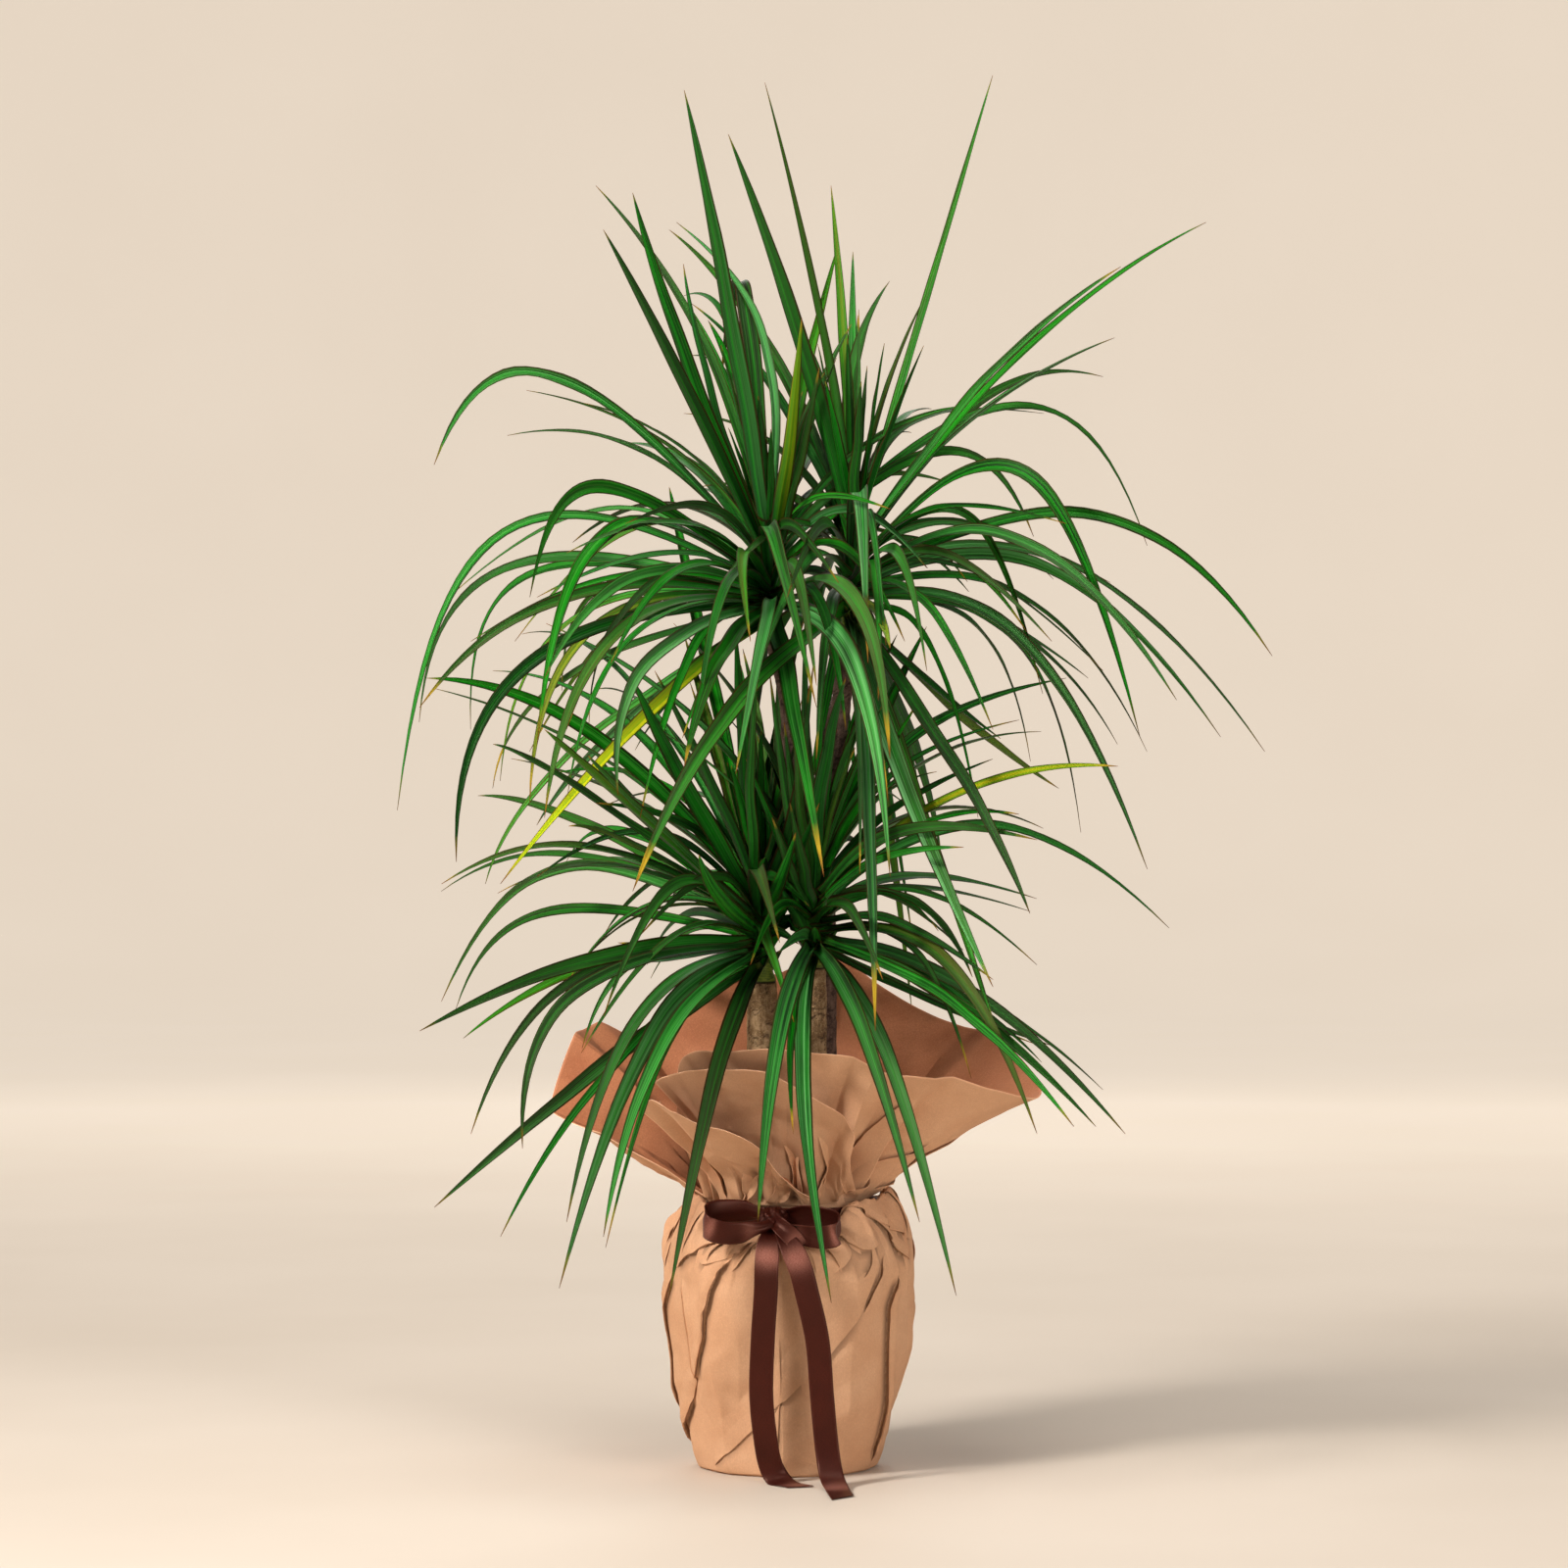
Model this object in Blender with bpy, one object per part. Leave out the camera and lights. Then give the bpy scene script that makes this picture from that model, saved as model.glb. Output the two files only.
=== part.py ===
"""A potted dracaena, 0.95 m tall: three canes in a 15 cm grower's pot, four crowns of strap
leaves, and a kraft paper wrap tied round the pot with a satin ribbon.

The origin is at the middle of the flat base, +Z is up and the front of the plant faces -Y.
"""

import math
import random

import bmesh
import bpy
from mathutils import Quaternion, Vector
from mathutils.bvhtree import BVHTree

MM = 0.001
GAP = 0.3  # between neighbours that touch, in millimetres as all sizes below

# The outline was sized from the front, from this distance and height
EYE_DISTANCE = 3140
EYE_HEIGHT = 463

# Nursery pot: its foot, its rim and its wall
POT_BASE_RADIUS = 53
POT_TOP_RADIUS = 74
POT_HEIGHT = 140
POT_WALL = 1.5
POT_RIM = 2.5
DRAIN_RADIUS = 4.5
DRAIN_RING = 34
SOIL_TOP = 126
SOIL_CROWN = 4

# Canes: the depth that they reach into the soil, and each one's points with its radius
CANE_SIDES = 12
CANE_FOOT = 70
SHORT_LEFT = [(-16, -14, CANE_FOOT, 11.5), (-16, -14, SOIL_TOP + 8, 11.2), (-17, -12, 328, 10.2)]
SHORT_RIGHT = [(17, -20, CANE_FOOT, 10.6), (17, -20, SOIL_TOP + 8, 10.4), (17, -20, 338, 9.6)]
TALL_TRUNK = [(24, 26, CANE_FOOT, 11.8), (24, 26, SOIL_TOP + 8, 11.2), (24, 26, 405, 9.2)]
TALL_LEFT = [
    (24, 26, 385, 6.5), (11, 20, 430, 6.9), (3, 12, 480, 6.6), (1, 9, 520, 6.4), (-9, 5, 562, 6.4),
]
TALL_RIGHT = [
    (24, 26, 385, 6.5), (25, 24, 450, 7.2), (32, 21, 492, 8.4), (38, 18, 525, 6.8), (43, 15, 567, 6.4),
]

# Leafy heads: the top of the cane under each, its lean in x and y, and its height
HEADS = {
    "crown_top_left": ((-9, 5, 562), (-4, -2), 76),
    "crown_top_right": ((43, 15, 567), (3, -2), 76),
    "crown_low_left": ((-17, -12, 328), (-2, -1), 78),
    "crown_low_right": ((17, -20, 338), (2, -1), 72),
}
HEAD_FOOT_RADIUS = 7.5
HEAD_TIP_RADIUS = 3.5
HEAD_SIDES = 9

# Blades
LEAF_THICKNESS = 0.8
LEAF_STATIONS = 7
ROOT_SUNK = 2.0  # how far from the head's axis a leaf begins, well inside the head
ROLL_SPREAD = 20  # degrees either way
FACE_FRONT = 0.62  # how much of the way a leaf turns its face to the light in front
CLEARANCE = 0.6  # kept to the leaves of other heads, to the canes and to the paper
SEED = 7

# The leaves that give the plant its outline, as seen from the front. Each row has x and z at
# the middle of the blade, x and z of the tip, y of the tip, the width, and how sharply it bends.
LEAVES = {
    "crown_top_left": [
        (-40, 785, -70, 935, -60, 14, 1), (-70, 755, -105, 865, -110, 11, 1),
        (-70, 735, -125, 840, -150, 10, 1), (-55, 760, -130, 870, 80, 7, 1),
        (-15, 765, -75, 845, 150, 7, 1.5), (-35, 765, -70, 795, 200, 6, 1.2),
        (-30, 800, -45, 735, 165, 13, 1.8), (0, 685, 10, 780, -170, 11, 1),
        (10, 730, 35, 830, 120, 9, 1), (155, 720, 245, 625, 100, 7, 1.2),
        (-160, 740, -240, 680, -40, 12, 1.2), (-60, 675, -110, 695, 230, 11, 1.2),
        (-130, 665, -175, 590, -170, 11, 1.6), (-190, 635, -265, 445, -60, 8, 1.3),
        (-190, 610, -250, 505, 150, 8, 1.2), (-175, 605, -215, 500, 180, 8, 1.3),
        (-150, 590, -250, 515, -210, 9, 1.1), (-175, 545, -225, 410, -170, 10, 1.1),
        (-120, 635, -170, 490, -200, 12, 1.2), (-100, 605, -165, 535, -240, 10, 1),
        (-95, 585, -175, 485, 210, 9, 1), (-115, 565, -165, 440, -220, 11, 1.1),
        (-95, 545, -115, 455, -250, 10, 1.1), (-90, 515, -195, 395, -180, 12, 1),
        (-150, 535, -200, 460, 170, 7, 1.1), (-145, 575, -195, 465, 120, 7, 1.1),
        (-130, 570, -175, 450, -130, 8, 1), (-110, 505, -170, 435, 200, 9, 1),
        (-145, 485, -205, 395, 90, 6, 1), (-10, 635, 20, 515, -215, 12, 1.5),
        (-15, 570, -35, 470, -250, 10, 1), (-45, 550, -70, 475, -240, 13, 1.2),
        (0, 535, 25, 400, -240, 14, 1), (45, 545, 70, 400, -225, 15, 1.2),
        (45, 590, 70, 480, -255, 13, 1.2),
    ],
    "crown_top_right": [
        (10, 760, -40, 905, -70, 14, 1), (25, 765, -15, 940, 40, 9, 1),
        (-10, 755, -80, 840, 150, 10, 1), (40, 745, 30, 870, 90, 9, 1),
        (45, 730, 45, 825, 190, 9, 1), (45, 740, 70, 805, 180, 12, 1.5),
        (90, 775, 140, 945, 30, 8, 1), (160, 755, 285, 845, -60, 10, 1),
        (135, 725, 215, 740, 210, 8, 1.3), (80, 705, 175, 715, 230, 8, 1.5),
        (160, 675, 240, 495, -110, 12, 1.5), (210, 645, 330, 550, -80, 9, 1.2),
        (185, 615, 325, 485, 60, 8, 1), (155, 630, 265, 520, -150, 10, 1.1),
        (175, 610, 295, 495, 140, 10, 1.2), (160, 590, 245, 485, 210, 8, 1),
        (150, 570, 225, 490, 240, 8, 1), (155, 565, 245, 405, -130, 10, 1.2),
        (155, 560, 200, 430, 190, 8, 1.3), (120, 585, 205, 535, 270, 8, 1),
        (50, 660, 55, 545, -215, 14, 1.5), (-40, 510, -105, 390, -220, 14, 1.1),
        (115, 475, 165, 375, -220, 10, 1), (80, 465, 140, 325, -195, 14, 1),
        (55, 465, 60, 295, -165, 12, 1), (65, 465, 85, 310, 195, 8, 1),
        (95, 435, 145, 285, -120, 9, 1), (85, 495, 105, 415, 265, 9, 1),
        (125, 505, 185, 460, 245, 7, 1.2), (60, 580, 70, 555, -215, 9, 1),
    ],
    "crown_low_left": [
        (-130, 345, -250, 295, -190, 12, 1.1), (-130, 340, -220, 290, 200, 9, 1.1),
        (-145, 330, -215, 225, -150, 8, 1.2), (-145, 320, -180, 215, -200, 10, 1.2),
        (-155, 405, -235, 315, 90, 9, 1.4), (-165, 375, -225, 310, 190, 8, 1.4),
        (-135, 420, -235, 395, -160, 9, 1.2), (-145, 415, -235, 390, 225, 6, 1.2),
        (-120, 275, -240, 175, -160, 12, 1), (-115, 275, -195, 155, -215, 7, 1),
        (-100, 305, -150, 165, -230, 10, 1.2), (-90, 295, -155, 120, -205, 13, 1.2),
        (-85, 285, -125, 155, -255, 10, 1.1), (-75, 395, -125, 305, -255, 10, 1.4),
        (-45, 275, -80, 115, -220, 14, 1.1), (-45, 385, -60, 415, -220, 11, 1),
        (-20, 405, -5, 355, -180, 12, 1.6), (-65, 375, -95, 340, 235, 7, 1.1),
        (-75, 345, -115, 340, 245, 6, 1.1), (-130, 495, -245, 535, -110, 12, 1),
        (-105, 500, -200, 540, 150, 10, 1), (-105, 530, -180, 565, 180, 6, 1),
        (-135, 455, -200, 490, -205, 10, 1), (-135, 435, -210, 455, 215, 8, 1),
        (-105, 430, -150, 410, 260, 7, 1.1), (-115, 455, -165, 500, -235, 10, 1),
        (-95, 440, -130, 485, 250, 9, 1), (-60, 570, -80, 665, 130, 11, 1),
        (-70, 465, -105, 535, -180, 12, 1), (-45, 475, -70, 565, 90, 10, 1),
        (-30, 485, -35, 570, -60, 11, 1), (-15, 470, -30, 555, 40, 10, 1.1),
        (5, 440, 15, 530, -70, 12, 1),
    ],
    "crown_low_right": [
        (45, 465, 95, 570, 150, 14, 1), (80, 490, 190, 535, 160, 9, 1.3),
        (115, 455, 225, 475, -160, 10, 1), (75, 430, 170, 425, -200, 10, 1.2),
        (135, 435, 260, 365, 140, 8, 1.1), (80, 400, 170, 385, 245, 8, 1.3),
        (65, 285, 115, 115, -195, 12, 1.2), (50, 300, 90, 165, -245, 12, 1.2),
        (105, 345, 170, 225, -185, 11, 1.3), (120, 325, 230, 225, -120, 10, 1.1),
        (125, 320, 215, 255, 140, 9, 1), (115, 315, 210, 230, -200, 9, 1.1),
        (110, 315, 195, 230, -235, 9, 1.1), (90, 320, 180, 285, 225, 7, 1),
        (-5, 295, -20, 165, -245, 13, 1.2), (10, 255, 30, 110, -215, 13, 1.2),
        (35, 400, 50, 370, 240, 8, 1.3), (25, 470, 20, 545, 190, 9, 1),
        (25, 470, 40, 535, -170, 11, 1), (50, 455, 85, 445, 225, 8, 1.5),
        (8, 430, -2, 505, -60, 11, 1),
    ],
}
# The leaves behind those follow the spiral of the plant: how many, and their longest length
BACK_LEAVES = {
    "crown_top_left": (7, 250),
    "crown_top_right": (7, 250),
    "crown_low_left": (6, 270),
    "crown_low_right": (8, 270),
}
GOLDEN_ANGLE = math.radians(137.5)

# Paper: radius against height from the foot to the tie
PAPER = 1.2
PAPER_COLUMNS = 42
BODY = [
    (0, 58), (4, 63), (30, 71), (60, 78.5), (100, 85.5), (135, 89), (150, 88), (156, 82), (160, 72),
    (163.5, 59), (181, 56), (182, 56),
]
# How strongly the paper is gathered at each height
GATHERING = [(0, 0), (40, 0.1), (120, 0.35), (152, 1), (158, 0.9), (164, 0.3), (182, 0.3)]
TUCK_DEPTH = 1.3
CREASE_DEPTH = 0.7
NECK_HEIGHT = 182
NECK_RADIUS = 56
COLLAR_ROWS = 5
# The collar's rim: direction in degrees from +X, radius and height
RIM = [
    (-10, 172, 252), (8, 168, 268), (25, 158, 288), (42, 140, 300), (58, 122, 322), (75, 120, 344),
    (92, 118, 330), (110, 118, 327), (127, 118, 305), (141, 126, 279), (155, 145, 297), (168, 150, 291),
    (182, 161, 243), (197, 125, 224), (210, 86, 206), (219, 90, 232), (231, 112, 280), (250, 110, 287),
    (270, 108, 287),
    (290, 110, 284), (308, 118, 270), (325, 135, 267), (340, 158, 257),
]
# Two turned layers of the same paper in front of the collar, each from left to right
UPPER_FLAP = [
    (225, 124, 266), (236, 123, 274), (249, 120, 276), (262, 117, 273), (272, 114, 264), (283, 108, 253),
    (291, 102, 244), (297, 94, 226), (302, 84, 200), (306, 77, 192),
]
LOWER_FLAP = [
    (222, 130, 248), (228, 134, 254), (235, 132, 249), (242, 127, 241), (252, 118, 234), (260, 108, 222),
    (266, 96, 205), (274, 84, 194), (282, 77, 189),
]
FLAP_COLUMNS = 13
UPPER_STANDOFF = 1.9
LOWER_STANDOFF = 3.8

# Ribbon: 16 mm satin, tied at the neck in front
RIBBON_WIDTH = 16
RIBBON_THICKNESS = 1.0
BAND_RADIUS = 60.2
BAND_MIDDLE = 173.5
BAND_WIDTH = 14
BAND_COLUMNS = 32
KNOT = (-9, -70, 174.5)
KNOT_SIZE = (9, 10.5, 8)
# Each loop of the bow: how far it reaches in x, y and z, and half its opening
LOOPS = [((-46, -14, -3), 7.5), ((44, -20, -6), 6.5)]
LOOP_START = (-9, -70, 172)
LOOP_SECTIONS = 12
TAIL_SECTIONS = 14
# Points of the two tails, which end on the surface that the pot stands on
LEFT_TAIL = [
    (-9, -72, 172), (-12, -91, 162), (-13.5, -97, 146), (-14, -97, 128), (-16, -95, 96), (-17, -93, 60),
    (-14, -88, 28), (-10, -85, 10), (-3, -90, 2.2), (9, -104, 1.0),
]
RIGHT_TAIL = [
    (-8, -72, 172), (0, -91, 162), (8, -98, 146), (13, -99, 128), (20, -97, 96), (23, -96, 60),
    (26, -97, 28), (29, -104, 9), (33, -121, 1.8), (36, -150, 1.0),
]

COLOURS = {
    "leaf_green": ((0.020, 0.150, 0.022), 0.38),
    "bark": ((0.200, 0.140, 0.090), 0.85),
    "kraft_paper": ((0.420, 0.235, 0.130), 0.80),
    "satin": ((0.048, 0.014, 0.010), 0.35),
    "black_plastic": ((0.020, 0.020, 0.020), 0.50),
    "potting_soil": ((0.050, 0.033, 0.022), 0.95),
}


def clear_scene():
    for old in list(bpy.data.objects):
        bpy.data.objects.remove(old, do_unlink=True)


def material(name):
    found = bpy.data.materials.get(name)
    if found:
        return found
    colour, roughness = COLOURS[name]
    made = bpy.data.materials.new(name)
    made.use_nodes = True
    shader = made.node_tree.nodes["Principled BSDF"]
    shader.inputs["Base Color"].default_value = (*colour, 1)
    shader.inputs["Roughness"].default_value = roughness
    made.diffuse_color = (*colour, 1)
    return made


def solid(name, points, faces, finish, smooth=False):
    """One object from points in millimetres, with its faces turned outward."""
    mesh = bpy.data.meshes.new(name)
    mesh.from_pydata([Vector(p) * MM for p in points], [], faces)
    shape = bmesh.new()
    shape.from_mesh(mesh)
    bmesh.ops.recalc_face_normals(shape, faces=shape.faces)
    shape.to_mesh(mesh)
    shape.free()
    if smooth:
        mesh.shade_smooth()
    mesh.materials.append(material(finish))
    made = bpy.data.objects.new(name, mesh)
    bpy.context.scene.collection.objects.link(made)
    return made


def apply_modifiers(made):
    """Keeps the shape that the modifiers give, and drops them."""
    graph = bpy.context.evaluated_depsgraph_get()
    shaped = bpy.data.meshes.new_from_object(made.evaluated_get(graph))
    made.modifiers.clear()
    old = made.data
    made.data = shaped
    bpy.data.meshes.remove(old)


def keep_outer_skin(made):
    """Drops the small hollows that crossing blades seal, and any loose scrap."""
    shape = bmesh.new()
    shape.from_mesh(made.data)
    left, skins = set(shape.verts), []
    while left:
        skin, edge = set(), [next(iter(left))]
        while edge:
            vert = edge.pop()
            if vert in skin:
                continue
            skin.add(vert)
            edge += [link.other_vert(vert) for link in vert.link_edges]
        left -= skin
        skins.append(skin)
    outer = max(skins, key=len)
    bmesh.ops.delete(shape, geom=[v for v in shape.verts if v not in outer], context="VERTS")
    shape.to_mesh(made.data)
    shape.free()


def join(made, others):
    """One body from a solid and the solids that cross it."""
    group = bpy.data.collections.new(made.name + "_parts")
    for other in others:
        group.objects.link(other)
    union = made.modifiers.new("join", "BOOLEAN")
    union.operation = "UNION"
    union.operand_type = "COLLECTION"
    union.collection = group
    apply_modifiers(made)
    for other in others:
        bpy.data.objects.remove(other, do_unlink=True)
    bpy.data.collections.remove(group)
    keep_outer_skin(made)


def cut(made, cutters):
    for cutter in cutters:
        drill = made.modifiers.new("cut", "BOOLEAN")
        drill.operation = "DIFFERENCE"
        drill.object = cutter
        cutter.hide_render = True
        cutter.display_type = "WIRE"
    bpy.context.view_layer.update()
    apply_modifiers(made)
    for cutter in cutters:
        bpy.data.objects.remove(cutter, do_unlink=True)


def between(table, at):
    """A smooth line through rows of (place, value, ...), read at one place. Returns the values."""
    if at <= table[0][0]:
        return list(table[0][1:])
    if at >= table[-1][0]:
        return list(table[-1][1:])
    i = max(k for k in range(len(table) - 1) if table[k][0] <= at)
    before, here = table[max(i - 1, 0)], table[i]
    after, beyond = table[i + 1], table[min(i + 2, len(table) - 1)]
    span = after[0] - here[0]
    t = (at - here[0]) / span
    values = []
    for k in range(1, len(here)):
        slope_here = (after[k] - before[k]) / (after[0] - before[0]) * span
        slope_after = (beyond[k] - here[k]) / (beyond[0] - here[0]) * span
        values.append(
            (2 * t**3 - 3 * t**2 + 1) * here[k] + (t**3 - 2 * t**2 + t) * slope_here
            + (3 * t**2 - 2 * t**3) * after[k] + (t**3 - t**2) * slope_after
        )
    return values


def around(table, degrees):
    """The same for a closed ring, whose places are directions in degrees."""
    start = table[0][0]
    at = start + (degrees - start) % 360
    before = [(row[0] - 360, *row[1:]) for row in table[-2:]]
    after = [(row[0] + 360, *row[1:]) for row in table[:2]]
    return between(before + table + after, at)


def rings(loops):
    """Points and faces of a solid skinned over loops of equal size, with a flat cap at each end."""
    count = len(loops[0])
    points = [p for loop in loops for p in loop]
    faces = []
    for i in range(len(loops) - 1):
        for k in range(count):
            a, b = i * count + k, i * count + (k + 1) % count
            faces.append((a, b, b + count, a + count))
    faces.append(tuple(range(count)))
    faces.append(tuple(range(len(points) - count, len(points))))
    return points, faces


def tube_mesh(path, sides):
    """A round tube along (x, y, z, radius), its sections level."""
    loops = []
    for x, y, z, radius in path:
        turns = [2 * math.pi * k / sides for k in range(sides)]
        loops.append([(x + radius * math.cos(a), y + radius * math.sin(a), z) for a in turns])
    return rings(loops)


def turned(profile, sides):
    """A closed outline of (radius, height), turned about the axis."""
    points = []
    for k in range(sides):
        a = 2 * math.pi * k / sides
        points += [(r * math.cos(a), r * math.sin(a), z) for r, z in profile]
    count = len(profile)
    faces = []
    for k in range(sides):
        here, there = k * count, (k + 1) % sides * count
        for i in range(count):
            j = (i + 1) % count
            faces.append((here + i, there + i, there + j, here + j))
    return points, faces


def build_pot():
    foot = PAPER + GAP
    outline = [
        (DRAIN_RADIUS, foot), (POT_BASE_RADIUS, foot), (POT_TOP_RADIUS - POT_RIM, POT_HEIGHT - 12),
        (POT_TOP_RADIUS, POT_HEIGHT - 12), (POT_TOP_RADIUS, POT_HEIGHT),
        (POT_TOP_RADIUS - POT_RIM - POT_WALL, POT_HEIGHT),
        (POT_BASE_RADIUS - POT_WALL, foot + POT_WALL), (DRAIN_RADIUS, foot + POT_WALL),
    ]
    pot = solid("nursery_pot", *turned(outline, 24), "black_plastic")
    holes = []
    for k in range(4):
        a = math.radians(45 + 90 * k)
        x, y = DRAIN_RING * math.cos(a), DRAIN_RING * math.sin(a)
        drill = tube_mesh([(x, y, foot - 2, DRAIN_RADIUS), (x, y, foot + POT_WALL + 2, DRAIN_RADIUS)], 8)
        holes.append(solid("drain", *drill, "black_plastic"))
    cut(pot, holes)


def pot_inside(height):
    """Radius of the pot's inner wall."""
    foot = PAPER + GAP
    share = (height - foot - POT_WALL) / (POT_HEIGHT - foot - POT_WALL)
    low, high = POT_BASE_RADIUS - POT_WALL, POT_TOP_RADIUS - POT_RIM - POT_WALL
    return low + share * (high - low)


def build_soil():
    """Soil that fills the pot, domed a little, with a plain hole for each cane."""
    floor = PAPER + GAP + POT_WALL + GAP
    loops = []
    for height, inset in ((floor, 0.6), (SOIL_TOP - 3, 0.6), (SOIL_TOP, 5), (SOIL_TOP + SOIL_CROWN, 38)):
        radius = pot_inside(min(height, SOIL_TOP)) - inset
        turns = [2 * math.pi * k / 24 for k in range(24)]
        loops.append([(radius * math.cos(a), radius * math.sin(a), height) for a in turns])
    soil = solid("potting_soil", *rings(loops), "potting_soil")
    holes = []
    for path in (SHORT_LEFT, SHORT_RIGHT, TALL_TRUNK):
        x, y, foot, radius = path[0]
        wide = (radius + GAP) / math.cos(math.pi / CANE_SIDES)
        drill = tube_mesh([(x, y, foot - GAP, wide), (x, y, SOIL_TOP + 20, wide)], CANE_SIDES)
        holes.append(solid("hole", *drill, "bark"))
    cut(soil, holes)


def build_canes():
    solid("cane_short_left", *tube_mesh(SHORT_LEFT, CANE_SIDES), "bark")
    solid("cane_short_right", *tube_mesh(SHORT_RIGHT, CANE_SIDES), "bark")
    trunk = solid("cane_tall", *tube_mesh(TALL_TRUNK, CANE_SIDES), "bark")
    arms = [solid("arm", *tube_mesh(path, CANE_SIDES - 2), "bark") for path in (TALL_LEFT, TALL_RIGHT)]
    join(trunk, arms)


def seen(x, z, y):
    """The real place of a point at depth y that is seen at x, z from the front."""
    share = (EYE_DISTANCE + y) / EYE_DISTANCE
    return Vector((x * share, y, EYE_HEIGHT + (z - EYE_HEIGHT) * share))


def head_axis(crown, share):
    """A point on a head's axis, from 0 at its foot to 1 at its top."""
    (x, y, z), lean, height = HEADS[crown]
    return Vector((x + lean[0] * share, y + lean[1] * share, z + GAP + height * share))


def root_of(crown, toward):
    """Where a leaf leaves the head: young upright leaves near the top, drooping ones lower."""
    reach = toward - head_axis(crown, 0.5)
    flat = math.hypot(reach.x, reach.y)
    rise = math.degrees(math.atan2(reach.z, flat))
    share = 0.14 + 0.76 * min(max((rise + 40) / 125, 0), 1)
    outward = Vector((reach.x, reach.y, 0)).normalized()
    return head_axis(crown, share) + outward * ROOT_SUNK


class Leaf:
    """A blade along a smooth arc: root, the arc's pull point, tip, the arc's weight and the width."""

    def __init__(self, root, pull, tip, weight, width, roll, twist):
        self.root, self.pull, self.tip, self.weight = root, pull, tip, weight
        self.width, self.roll, self.twist = width, roll, twist

    def at(self, t):
        parts = ((1 - t) ** 2, 2 * self.weight * t * (1 - t), t**2)
        total = sum(parts)
        return (self.root * parts[0] + self.pull * parts[1] + self.tip * parts[2]) / total

    def along(self, t):
        step = 0.01
        return (self.at(min(t + step, 1)) - self.at(max(t - step, 0))).normalized()

    def frame(self, t):
        """Direction, side and face of the blade."""
        ahead = self.along(t)
        outward = Vector((self.tip.x - self.root.x, self.tip.y - self.root.y, 0)).normalized()
        side = Vector((-outward.y, outward.x, 0))
        turn = Quaternion(ahead, math.radians(self.roll + self.twist * t))
        side = turn @ side
        return ahead, side, side.cross(ahead)

    def breadth(self, t):
        """Half as wide at the root, widest at two fifths, drawn out to a point."""
        waist = 0.55 + 0.45 * math.sin(min(t / 0.42, 1) * math.pi / 2)
        return self.width * waist * (1 - t**2.6) ** 0.85 + 0.9

    def sections(self, stations, grow=0):
        for i in range(stations):
            t = i / (stations - 1)
            place = self.at(t)
            _, side, face = self.frame(t)
            half = side * (self.breadth(t) / 2 + grow)
            thick = face * (LEAF_THICKNESS / 2 + grow)
            yield [place - half - thick, place + half - thick, place + half + thick, place - half + thick]

    def mesh(self, grow=0):
        points, faces = rings(list(self.sections(LEAF_STATIONS, grow)))
        split = []
        for i, face in enumerate(faces[:-2]):
            a, b, c, d = face
            # The two wide faces are split along the same diagonal, so that they never cross
            split += [(a, b, c), (a, c, d)] if i % 4 != 2 else [(a, b, d), (b, c, d)]
        return points, split + faces[-2:]

    def tree(self, grow):
        points, faces = self.mesh(grow)
        return BVHTree.FromPolygons(points, faces)

    def blade_tree(self):
        """The blade beyond the crowded root, as one surface."""
        sections = list(self.sections(LEAF_STATIONS))[1:]
        points = [corner for section in sections for corner in section[:2]]
        faces = [(2 * i, 2 * i + 1, 2 * i + 3, 2 * i + 2) for i in range(len(sections) - 1)]
        return BVHTree.FromPolygons(points, faces)


def front_turn(leaf):
    """Degrees that turn the middle of an untwisted blade to face the front."""
    ahead, side, _ = leaf.frame(0.5)
    side = (side - ahead * side.dot(ahead)).normalized()
    flat = Vector((0, 1, 0)).cross(ahead).normalized()
    degrees = math.degrees(math.atan2(flat.dot(ahead.cross(side)), flat.dot(side)))
    if abs(degrees) > 90:
        degrees -= math.copysign(180, degrees)
    # A blade that lies across the view shows its upper side
    if abs(degrees) > 60 and degrees * (leaf.tip.x - leaf.root.x) < 0:
        degrees -= math.copysign(180, degrees)
    return degrees


def outline_leaf(crown, row, rng):
    """A function that gives the leaf for a shift in depth."""
    mid_x, mid_z, tip_x, tip_z, tip_y, width, weight = row
    spin = rng.uniform(-1, 1), rng.uniform(-1, 1)

    def at_depth(shift):
        tip = seen(tip_x, tip_z, tip_y + shift)
        axis = head_axis(crown, 0.5)
        across = tip.x - axis.x
        share = (mid_x - axis.x) / across if abs(across) > 30 else 0.55
        share = min(max(share, 0.35), 0.8)
        middle = seen(mid_x, mid_z, axis.y + share * (tip.y - axis.y))
        root = root_of(crown, middle)
        pull = (middle * (2 + 2 * weight) - root - tip) / (2 * weight)
        leaf = Leaf(root, pull, tip, weight, width, 0, 0)
        leaf.roll = FACE_FRONT * front_turn(leaf) + ROLL_SPREAD * spin[0]
        leaf.twist = ROLL_SPREAD * spin[1]
        return leaf

    return at_depth


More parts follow.
